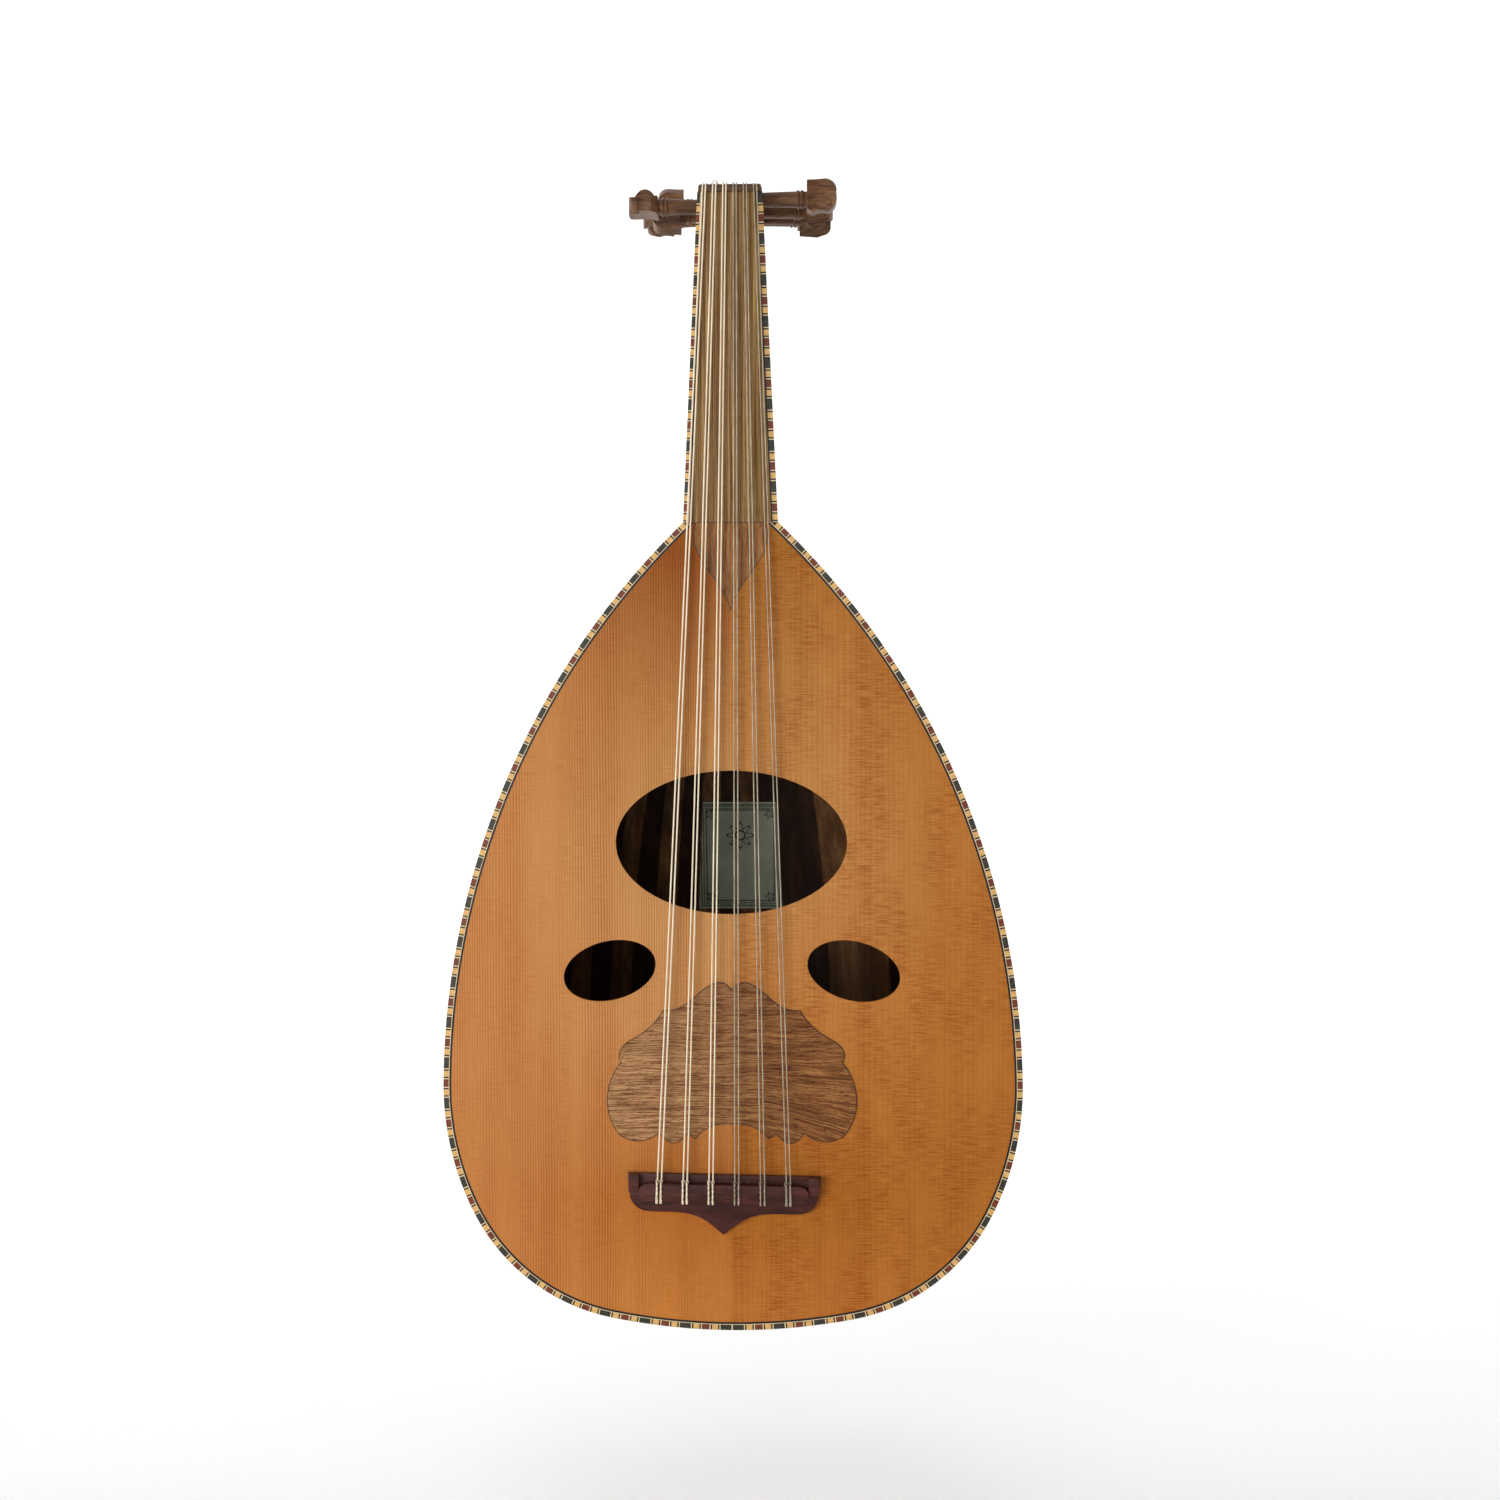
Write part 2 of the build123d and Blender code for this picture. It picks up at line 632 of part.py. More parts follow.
def string_route(index):
    """Bridge end, nut corner and peg end of a string's axis."""
    radius = STRING_DIAMETERS[index] / 2
    nut = (
        course_x(index, NUT_COURSE_SPACING, NUT_PAIR_GAP),
        -STRING_RISE_NUT,
        NUT_LENGTH + radius,
    )
    peg = string_peg(index)
    peg_y, peg_z = pegbox_point(peg * PEG_PITCH)
    reach = peg_radius(peg_y, abs(coil_x(peg))) + radius + COIL_GAP
    distance = hypot(peg_y - nut[1], peg_z - nut[2])
    slope = atan2(peg_z - nut[2], peg_y - nut[1]) + asin(reach / distance)
    end = (coil_x(peg), peg_y - reach * sin(slope), peg_z + reach * cos(slope))
    front_x = BRIDGE_OFFSET + course_x(index, BRIDGE_COURSE_SPACING, BRIDGE_PAIR_GAP)
    front = (front_x, -STRING_RISE_BRIDGE, bar_front(front_x))
    past_bar = 1 + (TIE_BAR[1] + STRING_TAIL) / (nut[2] - front[2])
    tail = tuple(n + past_bar * (f - n) for n, f in zip(nut, front))
    return tail, nut, end


def tie_route(index):
    """The loop in which a string comes back over the tie bar, from its rear to its front."""
    tail, nut, _ = string_route(index)

    def on_string(z):
        share = (z - tail[2]) / (nut[2] - tail[2])
        return tuple(t + share * (n - t) for t, n in zip(tail, nut))

    rear = on_string(bar_front(tail[0]) - TIE_BAR[1] - TIE_GAP)
    front = on_string(bar_front(tail[0]) + TIE_GAP)
    top = -TIE_BAR_HEIGHT - TIE_GAP
    return rear, (rear[0], top, rear[2]), (front[0], top, front[2]), front


def sweep_round(route, radius, mode=Mode.ADD):
    """Sweep a circle along a route."""
    with BuildSketch(Plane(origin=route.line @ 0, z_dir=route.line % 0)) as section:
        Circle(radius)
    sweep(section.sketch, path=route.line, mode=mode)


for string_index, string_diameter in enumerate(STRING_DIAMETERS):
    with BuildPart() as string:
        with BuildLine() as route:
            FilletPolyline(*string_route(string_index), radius=STRING_BEND)
        sweep_round(route, string_diameter / 2)
        with BuildLine() as route:
            FilletPolyline(*tie_route(string_index), radius=TIE_BEND)
        sweep_round(route, TIE_SHARE * string_diameter / 2)
    finish(string, f"string_{string_index + 1:02d}")

# ---------------------------------------------------------------- nut and bridge

with BuildPart() as nut:
    with BuildSketch(Plane.YZ):
        Polygon((-NUT_RISE, 0), (LAYER, 0), (LAYER, NUT_LENGTH), (-NUT_RISE, NUT_LENGTH), align=None)
    extrude(amount=NUT_HALF_WIDTH, both=True)
    fillet(nut.edges().filter_by(Axis.X).group_by(Axis.Y)[0].sort_by(Axis.Z)[-1], radius=NUT_CROWN_RADIUS)
    fillet(nut.edges().filter_by(Axis.Y).group_by(Axis.Z)[-1], radius=NUT_END_RADIUS)
    for string_index, string_diameter in enumerate(STRING_DIAMETERS):
        with BuildLine() as route:
            FilletPolyline(*string_route(string_index), radius=STRING_BEND)
        sweep_round(route, string_diameter / 2 + STRING_SLOT_CLEARANCE, Mode.SUBTRACT)
finish(nut, "nut")


def bridge_outline():
    """The bridge seen from the front: flat front edge, round corners, a point at the rear."""
    corner = (BRIDGE_CORNER[0], -BRIDGE_CORNER[1])
    rear_points = [(x, -depth) for x, depth in BRIDGE_REAR]
    with BuildSketch() as profile:
        with BuildLine():
            Polyline((0, 0), (BRIDGE_HALF_WIDTH, 0), corner)
            TangentArc(corner, rear_points[0], tangent=BRIDGE_CORNER_HEADING)
            rear = Spline(*rear_points, tangents=BRIDGE_REAR_HEADINGS)
            Line(rear @ 1, (0, 0))
        make_face()
    return mirrored(profile.sketch)


BRIDGE_PLANE = Plane(
    origin=(BRIDGE_OFFSET, 0, BRIDGE_Z),
    x_dir=(cos(radians(BRIDGE_TILT)), 0, -sin(radians(BRIDGE_TILT))),
    z_dir=(0, -1, 0),
)

with BuildPart() as bridge:
    with BuildSketch(BRIDGE_PLANE):
        add(bridge_outline())
    extrude(amount=APRON_HEIGHT)
    with BuildSketch(BRIDGE_PLANE):
        with Locations((0, -RECESS_DEPTH - TIE_BAR[1] / 2)):
            SlotOverall(*TIE_BAR)
    extrude(amount=TIE_BAR_HEIGHT)
    with BuildSketch(BRIDGE_PLANE):
        for side in (-1, 1):
            block_x = BRIDGE_HALF_WIDTH - END_BLOCK_INSET - END_BLOCK[0] / 2
            with Locations((side * block_x, -END_BLOCK[1] / 2)):
                Rectangle(*END_BLOCK)
    extrude(amount=END_BLOCK_HEIGHT)
    for string_index, string_diameter in enumerate(STRING_DIAMETERS):
        with BuildLine() as route:
            Line(string_route(string_index)[:2])
        sweep_round(route, string_diameter / 2 + STRING_SLOT_CLEARANCE, Mode.SUBTRACT)
finish(bridge, "bridge")

# ---------------------------------------------------------------- pegs


def blade_outline():
    """The broad face of a peg's head: x runs outwards from the head's start."""
    with BuildSketch() as profile:
        with BuildLine():
            Polyline(*BLADE_EDGES)
            for arc in BLADE_ARCS:
                ThreePointArc(*arc)
        make_face()
    return profile.sketch


for peg_index in range(PEG_COUNT):
    peg_y, peg_z = pegbox_point(peg_index * PEG_PITCH)
    side = peg_side(peg_index)
    collar_x = collar_reach(peg_index)
    head = (side * (collar_x + PEG_NECK_RUN), peg_y, peg_z)
    turned = radians(PEG_TURNS[peg_index])
    blade_normal = (0, -cos(turned), sin(turned))
    across = (0, -sin(turned), -cos(turned))
    blade_plane = Plane(origin=head, x_dir=(side, 0, 0), z_dir=blade_normal)
    ear_plane = Plane(origin=head, x_dir=(side, 0, 0), z_dir=across)
    back = -1 if ear_plane.y_dir.dot(Vector(*blade_normal)) > 0 else 1
    with BuildPart() as peg:
        with BuildSketch(blade_plane):
            add(blade_outline())
        extrude(amount=BLADE_HALF, both=True)
        with BuildSketch(ear_plane):
            with Locations((HOLLOW_X, HOLLOW_OFFSET), (HOLLOW_X, -HOLLOW_OFFSET)):
                Circle(HOLLOW_RADIUS)
        extrude(amount=2 * EAR[1], both=True, mode=Mode.SUBTRACT)
        with BuildSketch(ear_plane):
            with Locations((EAR_X, 0)):
                Ellipse(*EAR)
            with Locations((EAR_X, -back * EAR[1])):
                Rectangle(4 * EAR[0], 2 * EAR[1], mode=Mode.SUBTRACT)
        extrude(amount=EAR_HALF, both=True)
        with BuildSketch(blade_plane):
            with Locations(EYE):
                Circle(EYE_RADIUS)
        extrude(amount=BLADE_HALF - EYE_SUNK, both=True)
        with BuildSketch(shaft_plane(peg_index)):
            with BuildLine():
                tip_foot, tip_edge, collar_edge, _ = shaft_profile(peg_index, 0)
                ring = collar_edge[1]
                bead_ends = []
                for start in BEAD_STARTS:
                    bead_x = collar_x + start
                    ThreePointArc(
                        (bead_x, ring),
                        (bead_x + BEAD_WIDTH / 2, ring + BEAD_HEIGHT),
                        (bead_x + BEAD_WIDTH, ring),
                    )
                    bead_ends += [bead_x, bead_x + BEAD_WIDTH]
                Polyline(tip_foot, tip_edge, collar_edge)
                Line((bead_ends[1], ring), (bead_ends[2], ring))
                Polyline(
                    (bead_ends[3], ring),
                    (collar_x + PEG_NECK_RUN, PEG_NECK_RADIUS),
                    (collar_x + PEG_NECK_RUN + HEAD_OVERLAP, PEG_NECK_RADIUS),
                    (collar_x + PEG_NECK_RUN + HEAD_OVERLAP, 0),
                    tip_foot,
                )
            make_face()
        revolve(axis=peg_axis(peg_index))
        with BuildSketch(Plane(origin=(coil_x(peg_index), peg_y, peg_z), z_dir=(0, 1, 0))):
            Circle(PEG_HOLE_RADIUS)
        extrude(amount=2 * PEG_COLLAR_RADIUS, both=True, mode=Mode.SUBTRACT)
    side_name = "right" if side > 0 else "left"
    finish(peg, f"peg_{side_name}_{peg_index // 2 + 1}")
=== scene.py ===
"""Looks for an oud: mosaic binding, carved rosewood bridge with tied strings, walnut pegbox and pegs.

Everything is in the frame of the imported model: metres, x to the right of a person looking at the
face, y back through the bowl, z up the neck.
"""

import json
from math import asin, cos, hypot, pi, radians, sin, tan, tau

import bmesh
import bpy
from mathutils import Matrix, Vector
from mathutils.bvhtree import BVHTree

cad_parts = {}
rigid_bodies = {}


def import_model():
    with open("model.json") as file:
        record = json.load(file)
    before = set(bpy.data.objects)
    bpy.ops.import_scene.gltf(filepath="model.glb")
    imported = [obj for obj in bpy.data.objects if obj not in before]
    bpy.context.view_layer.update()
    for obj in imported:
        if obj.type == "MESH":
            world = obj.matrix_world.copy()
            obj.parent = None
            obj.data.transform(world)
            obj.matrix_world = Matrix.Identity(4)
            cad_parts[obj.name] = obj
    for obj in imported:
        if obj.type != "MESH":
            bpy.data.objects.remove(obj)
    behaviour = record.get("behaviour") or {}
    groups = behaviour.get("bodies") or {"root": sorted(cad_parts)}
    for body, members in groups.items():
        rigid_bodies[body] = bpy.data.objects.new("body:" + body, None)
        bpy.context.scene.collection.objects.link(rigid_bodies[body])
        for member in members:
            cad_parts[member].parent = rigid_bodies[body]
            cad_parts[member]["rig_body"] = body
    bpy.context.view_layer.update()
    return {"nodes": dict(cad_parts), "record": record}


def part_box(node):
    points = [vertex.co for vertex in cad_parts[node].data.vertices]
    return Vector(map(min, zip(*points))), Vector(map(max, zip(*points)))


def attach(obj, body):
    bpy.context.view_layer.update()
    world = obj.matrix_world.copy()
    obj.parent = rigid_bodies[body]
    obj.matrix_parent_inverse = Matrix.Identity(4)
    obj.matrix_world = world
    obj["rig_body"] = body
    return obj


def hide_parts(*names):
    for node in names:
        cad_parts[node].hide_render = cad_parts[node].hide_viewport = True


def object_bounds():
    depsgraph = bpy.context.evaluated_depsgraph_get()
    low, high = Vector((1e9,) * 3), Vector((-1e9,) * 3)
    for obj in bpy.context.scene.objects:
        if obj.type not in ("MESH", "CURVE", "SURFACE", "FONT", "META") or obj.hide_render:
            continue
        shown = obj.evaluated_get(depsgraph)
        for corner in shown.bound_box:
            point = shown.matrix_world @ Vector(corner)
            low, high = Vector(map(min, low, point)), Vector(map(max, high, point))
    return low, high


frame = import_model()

NODES = frame["nodes"]
BODY = "instrument"
MM = 0.001

# Driving dimensions of the face, as the model has them
JOINT_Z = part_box("neck")[0].z
NECK_HALF_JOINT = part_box("neck")[1].x
NECK_HALF_NUT = 19.3 * MM
BINDING_WIDTH = 3.2 * MM
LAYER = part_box("body_binding")[1].y
TAIL_ARCS = ((377.0, 11.0), (117.5, 52.1), (168.5, 27.6))  # radius in mm, degrees turned
FLANK_RADIUS = 470.5 * MM
CURVE_STEP = 2.5 * MM


# ---------------------------------------------------------------- materials


def srgb(red, green, blue):
    """A colour given in 0 to 255, as Blender's linear colour."""
    linear = []
    for channel in (red, green, blue):
        c = channel / 255
        linear.append(c / 12.92 if c <= 0.04045 else ((c + 0.055) / 1.055) ** 2.4)
    return (*linear, 1.0)


class Material:
    """A node material under construction."""

    def __init__(self, name, roughness=0.5, specular=0.5, coat=0.0, coat_roughness=0.1):
        self.data = bpy.data.materials.new(name)
        self.data.use_nodes = True
        self.tree = self.data.node_tree
        self.shader = self.tree.nodes["Principled BSDF"]
        self.shader.inputs["Roughness"].default_value = roughness
        self.shader.inputs["Specular IOR Level"].default_value = specular
        self.shader.inputs["Coat Weight"].default_value = coat
        self.shader.inputs["Coat Roughness"].default_value = coat_roughness
        self.place = self.node("ShaderNodeTexCoord").outputs["Object"]

    def node(self, kind, **settings):
        made = self.tree.nodes.new(kind)
        for key, value in settings.items():
            setattr(made, key, value)
        return made

    def feed(self, socket, value):
        if isinstance(value, bpy.types.NodeSocket):
            self.tree.links.new(value, socket)
        else:
            socket.default_value = value

    def scaled(self, scale, offset=(0, 0, 0), vector=None):
        """Coordinates scaled per axis: the object's own, unless a vector is given."""
        mapping = self.node("ShaderNodeMapping")
        self.feed(mapping.inputs["Vector"], vector or self.place)
        mapping.inputs["Scale"].default_value = scale
        mapping.inputs["Location"].default_value = offset
        return mapping.outputs["Vector"]

    def noise(self, vector, detail=3.0, roughness=0.55, distortion=0.0):
        texture = self.node("ShaderNodeTexNoise")
        self.feed(texture.inputs["Vector"], vector)
        texture.inputs["Scale"].default_value = 1.0
        texture.inputs["Detail"].default_value = detail
        texture.inputs["Roughness"].default_value = roughness
        texture.inputs["Distortion"].default_value = distortion
        return texture.outputs["Fac"]

    def math(self, operation, a, b=0.0):
        made = self.node("ShaderNodeMath", operation=operation)
        for socket, value in zip(made.inputs, (a, b)):
            self.feed(socket, value)
        return made.outputs["Value"]

    def axes(self):
        made = self.node("ShaderNodeSeparateXYZ")
        self.feed(made.inputs["Vector"], self.place)
        return made.outputs["X"], made.outputs["Y"], made.outputs["Z"]

    def vector(self, x, y, z):
        made = self.node("ShaderNodeCombineXYZ")
        for socket, value in zip(made.inputs, (x, y, z)):
            self.feed(socket, value)
        return made.outputs["Vector"]

    def span(self, value, low, high, to_low=0.0, to_high=1.0):
        """Value carried from one range to another, and held inside it."""
        made = self.node("ShaderNodeMapRange")
        keys = ("Value", "From Min", "From Max", "To Min", "To Max")
        for key, number in zip(keys, (value, low, high, to_low, to_high)):
            self.feed(made.inputs[key], number)
        return made.outputs["Result"]

    def ramp(self, value, *stops):
        """A colour from a value: stops are (position, colour)."""
        made = self.node("ShaderNodeValToRGB")
        self.feed(made.inputs["Fac"], value)
        elements = made.color_ramp.elements
        while len(elements) < len(stops):
            elements.new(0.5)
        for element, (position, colour) in zip(elements, stops):
            element.position = position
            element.color = colour
        return made.outputs["Color"]

    def mix(self, share, a, b, blend="MIX"):
        made = self.node("ShaderNodeMix", data_type="RGBA", blend_type=blend)
        self.feed(made.inputs["Factor"], share)
        self.feed(made.inputs[6], a)
        self.feed(made.inputs[7], b)
        return made.outputs[2]

    def tinted(self, share, colour, tint):
        """A colour darkened by a tint where the share is high."""
        return self.mix(share, colour, self.mix(1.0, colour, tint, "MULTIPLY"))

    def bump(self, height, distance, strength=1.0):
        made = self.node("ShaderNodeBump")
        made.inputs["Distance"].default_value = distance
        made.inputs["Strength"].default_value = strength
        self.feed(made.inputs["Height"], height)
        self.feed(self.shader.inputs["Normal"], made.outputs["Normal"])

    def colour(self, value):
        self.feed(self.shader.inputs["Base Color"], value)

    def roughness(self, value):
        self.feed(self.shader.inputs["Roughness"], value)


def grey(level):
    return (level, level, level, 1.0)


def along(axis, fine, stretch):
    """Scale per axis for a texture of the given fineness, drawn out along one axis."""
    scale = [fine, fine, fine]
    scale["xyz".index(axis)] = fine / stretch
    return tuple(scale)


def soundboard_material(name, tones, edge, ring_gap, ring_share, silk_share):
    """Straight-grained softwood: fine growth rings along z, with silky ripples across them.

    The tones are colours down the face, from the joint to the tail: the wood's own colour with painted
    shade darkening the joint end and painted light at the middle. The edge colour tints the flanks darker
    and more saturated, which is painted shade along with the wood's own tone.
    """
    m = Material(name, roughness=0.5, specular=0.1)
    x, y, z = m.axes()
    down = m.span(z, JOINT_Z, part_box("soundboard_left")[0].z)
    wander = m.noise(m.scaled((26, 26, 1.3)), detail=2.0)
    phase = m.math("ADD", m.math("DIVIDE", x, ring_gap), m.math("MULTIPLY", wander, 4.0))
    ring = m.math("FRACT", phase)
    ring_line = m.ramp(ring, (0.0, grey(1.0)), (0.45, grey(0.75)), (0.82, grey(0.0)), (0.95, grey(0.55)))
    zone = m.noise(m.scaled((45, 45, 2.0), offset=(3, 0, 0)), detail=1.0)
    strength = m.span(zone, 0.35, 0.65, 0.25 * ring_share, ring_share)
    fine = m.noise(m.scaled(along("z", 1900, 42)), detail=2.0)
    broad = m.noise(m.scaled((55, 55, 2.6), offset=(7, 0, 1)), detail=3.0)
    silk = m.noise(m.scaled((95, 95, 1250)), detail=2.0, distortion=0.25)
    silk_zone = m.noise(m.scaled((42, 42, 22), offset=(0, 0, 5)), detail=1.0)
    silk_line = m.math("MULTIPLY", m.span(silk, 0.42, 0.62), m.span(silk_zone, 0.25, 0.6))
    # Tones down the face: painted shade at the joint end and painted light in the middle, over the wood's
    # own colour
    colour = m.ramp(down, *tones)
    # Flanks darker and more saturated: painted shade along with the wood's own tone
    colour = m.mix(m.span(m.math("ABSOLUTE", x), 0.035, 0.13, 0.0, 0.8), colour, edge)
    colour = m.tinted(m.span(broad, 0.35, 0.7, 0.0, 0.35), colour, srgb(228, 208, 184))
    rings = m.math("MULTIPLY", m.math("SUBTRACT", 1.0, ring_line), strength)
    colour = m.tinted(rings, colour, srgb(206, 172, 134))
    fibre = m.math("MULTIPLY", m.span(fine, 0.35, 0.75), 0.30)
    colour = m.tinted(fibre, colour, srgb(214, 186, 152))
    ripple = m.math("MULTIPLY", silk_line, silk_share)
    colour = m.tinted(ripple, colour, srgb(206, 170, 128))
    m.colour(colour)
    m.roughness(m.span(fine, 0.2, 0.8, 0.44, 0.58))
    relief = m.math("ADD", m.math("MULTIPLY", ring_line, 0.5), m.math("MULTIPLY", silk, 0.8))
    m.bump(m.math("ADD", relief, fine), 0.00006, 0.5)
    return m.data


def walnut_material(name, axis, light, mid, dark, fineness=1.0, wave=0.0, pores=0.5, gloss=0.0):
    """Open-grained hardwood with its grain along one axis, more or less wavy."""
    roughness = 0.45 - 0.25 * gloss
    m = Material(name, roughness=roughness, specular=0.22, coat=gloss, coat_roughness=0.25)
    f = fineness
    bend = m.noise(m.scaled((28 * f, 28 * f, 28 * f)), detail=2.0)
    x, y, z = m.axes()
    shift = m.math("MULTIPLY", m.math("SUBTRACT", bend, 0.5), wave)
    if axis == "x":
        vector = m.vector(x, m.math("ADD", y, shift), m.math("ADD", z, shift))
    elif axis == "y":
        vector = m.vector(m.math("ADD", x, shift), y, m.math("ADD", z, shift))
    else:
        vector = m.vector(m.math("ADD", x, shift), m.math("ADD", y, shift), z)
    bands = m.noise(m.scaled(along(axis, 130 * f, 11), vector=vector), detail=4.0, roughness=0.6)
    streaks = m.noise(m.scaled(along(axis, 620 * f, 26), vector=vector), detail=3.0)
    fine = m.noise(m.scaled(along(axis, 2300 * f, 30), vector=vector), detail=2.0)
    colour = m.ramp(bands, (0.28, dark), (0.47, mid), (0.7, light))
    colour = m.tinted(m.math("MULTIPLY", m.span(streaks, 0.44, 0.7), 0.75), colour, srgb(168, 150, 132))
    pore = m.span(fine, 0.56, 0.7, 0.0, pores)
    colour = m.tinted(pore, colour, srgb(118, 100, 88))
    m.colour(colour)
    m.roughness(m.span(streaks, 0.3, 0.7, roughness - 0.07, roughness + 0.1))
    m.bump(m.math("SUBTRACT", m.math("MULTIPLY", streaks, 0.4), pore), 0.00008, 0.6)
    return m.data


def fingerboard_material(name):
    """Walnut board with fine stripes up the neck, greener towards the right edge."""
    m = Material(name, roughness=0.5, specular=0.08)
    x, y, z = m.axes()
    bend = m.noise(m.scaled((60, 60, 3.5)), detail=2.0)
    moved = m.vector(m.math("ADD", x, m.math("MULTIPLY", bend, 0.005)), y, z)
    bands = m.noise(m.scaled((430, 430, 5.0), vector=moved), detail=3.0, roughness=0.62)
    stripes = m.noise(m.scaled((1250, 1250, 9), vector=moved), detail=3.0)
    pores = m.noise(m.scaled((2600, 2600, 130), vector=moved), detail=2.0)
    tones = ((0.32, srgb(100, 70, 40)), (0.5, srgb(146, 114, 74)), (0.66, srgb(180, 148, 100)))
    colour = m.ramp(bands, *tones)
    green = m.span(x, 0.004, 0.02, 0.0, 0.6)
    colour = m.tinted(green, colour, srgb(240, 246, 206))
    colour = m.tinted(m.span(stripes, 0.44, 0.6, 0.0, 0.85), colour, srgb(168, 142, 110))
    colour = m.tinted(m.span(pores, 0.56, 0.7, 0.0, 0.5), colour, srgb(130, 110, 90))
    m.colour(colour)
    m.roughness(m.span(stripes, 0.3, 0.7, 0.42, 0.56))
    m.bump(m.math("SUBTRACT", stripes, pores), 0.00005, 0.6)
    return m.data


def raqma_material(name):
    """Walnut across the face in short dashes of grain, redder and slanting at the lower right."""
    m = Material(name, roughness=0.5, specular=0.1)
    x, y, z = m.axes()
    low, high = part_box("raqma")
    right = m.span(x, 0.02, high.x)
    lower = m.span(z, (low.z + high.z) / 2, low.z)
    lean = m.math("MULTIPLY", m.math("MULTIPLY", right, lower), 0.016)
    bend = m.noise(m.scaled((34, 34, 60)), detail=2.0)
    swirl = m.math("ADD", lean, m.math("MULTIPLY", m.math("SUBTRACT", bend, 0.5), 0.0035))
    moved = m.vector(x, y, m.math("ADD", z, swirl))
    bands = m.noise(m.scaled((14, 14, 420), vector=moved), detail=4.0, roughness=0.62)
    streaks = m.noise(m.scaled((55, 55, 1250), vector=moved), detail=3.0)
    dashes = m.noise(m.scaled((300, 300, 2600), vector=moved), detail=2.0)
    tones = ((0.32, srgb(132, 92, 58)), (0.5, srgb(170, 127, 86)), (0.68, srgb(196, 152, 106)))
    colour = m.ramp(bands, *tones)
    colour = m.tinted(m.span(x, -0.045, 0.03), colour, srgb(212, 190, 163))
    colour = m.tinted(m.span(streaks, 0.46, 0.6, 0.0, 0.85), colour, srgb(158, 128, 102))
    colour = m.tinted(m.span(dashes, 0.54, 0.64, 0.0, 0.75), colour, srgb(132, 102, 80))
    m.colour(colour)
    m.bump(m.math("SUBTRACT", streaks, dashes), 0.00006, 0.5)
    return m.data


def rosewood_material(name):
    """Dark reddish rosewood with short pores across the face."""
    m = Material(name, roughness=0.38, specular=0.2)
    bands = m.noise(m.scaled((26, 120, 150)), detail=4.0)
    pores = m.noise(m.scaled((260, 1500, 1900)), detail=2.0)
    colour = m.ramp(bands, (0.3, srgb(43, 15, 11)), (0.52, srgb(68, 30, 23)), (0.72, srgb(92, 48, 38)))
    colour = m.mix(m.span(pores, 0.55, 0.68, 0.0, 0.8), colour, srgb(30, 12, 12))
    m.colour(colour)
    m.roughness(m.span(pores, 0.35, 0.65, 0.28, 0.46))
    m.bump(m.math("SUBTRACT", bands, pores), 0.00012, 0.7)
    return m.data


def inlay_material(name, light, dark):
    """A small block of wood or bone in the mosaic."""
    m = Material(name, roughness=0.35, specular=0.3)
    tone = m.noise(m.scaled((420, 420, 420)), detail=3.0)
    fine = m.noise(m.scaled((2600, 2600, 900)), detail=2.0)
    colour = m.mix(m.span(tone, 0.3, 0.7), light, dark)
    colour = m.tinted(m.span(fine, 0.5, 0.75, 0.0, 0.35), colour, srgb(190, 180, 170))
    m.colour(colour)
    m.bump(m.math("ADD", tone, fine), 0.00004, 0.5)
    return m.data


def rib_material(name, light, mid, dark):
    """Lacquered hardwood rib, its grain along the bowl."""
    m = Material(name, roughness=0.32, specular=0.5, coat=0.45, coat_roughness=0.12)
    bend = m.noise(m.scaled((9, 9, 5)), detail=2.0)
    x, y, z = m.axes()
    shift = m.math("MULTIPLY", bend, 0.02)
    vector = m.vector(m.math("ADD", x, shift), m.math("ADD", y, shift), z)
    bands = m.noise(m.scaled((95, 95, 4.5), vector=vector), detail=4.0, roughness=0.6)
    streaks = m.noise(m.scaled((420, 420, 12), vector=vector), detail=3.0)
    pores = m.noise(m.scaled((1500, 1500, 70), vector=vector), detail=2.0)
    colour = m.ramp(bands, (0.3, dark), (0.5, mid), (0.7, light))
    colour = m.mix(m.span(streaks, 0.45, 0.7, 0.0, 0.6), colour, dark)
    colour = m.tinted(m.span(pores, 0.56, 0.7, 0.0, 0.5), colour, srgb(120, 105, 95))
    m.colour(colour)
    m.bump(m.math("SUBTRACT", streaks, pores), 0.00006, 0.5)
    return m.data


def wound_string_material(name):
    """Pale cream wound string: fine turns of thread along its length."""
    m = Material(name, roughness=0.4, specular=0.4)
    turns = m.noise(m.scaled((300, 300, 5200)), detail=1.0)
    tone = m.noise(m.scaled((200, 200, 60)), detail=2.0)
    colour = m.mix(m.span(tone, 0.3, 0.7), srgb(240, 228, 202), srgb(224, 208, 178))
    m.colour(m.mix(m.span(turns, 0.5, 0.75, 0.0, 0.3), colour, srgb(190, 166, 124)))
    m.bump(turns, 0.00004, 0.6)
    return m.data


def clear_string_material(name):
    """Translucent nylon, brownish grey over the wood."""
    m = Material(name, roughness=0.25, specular=0.4)
    tone = m.noise(m.scaled((300, 300, 90)), detail=2.0)
    m.colour(m.mix(m.span(tone, 0.35, 0.65), srgb(206, 192, 168), srgb(176, 160, 134)))
    m.shader.inputs["Transmission Weight"].default_value = 0.35
    m.bump(tone, 0.00002, 0.4)
    return m.data


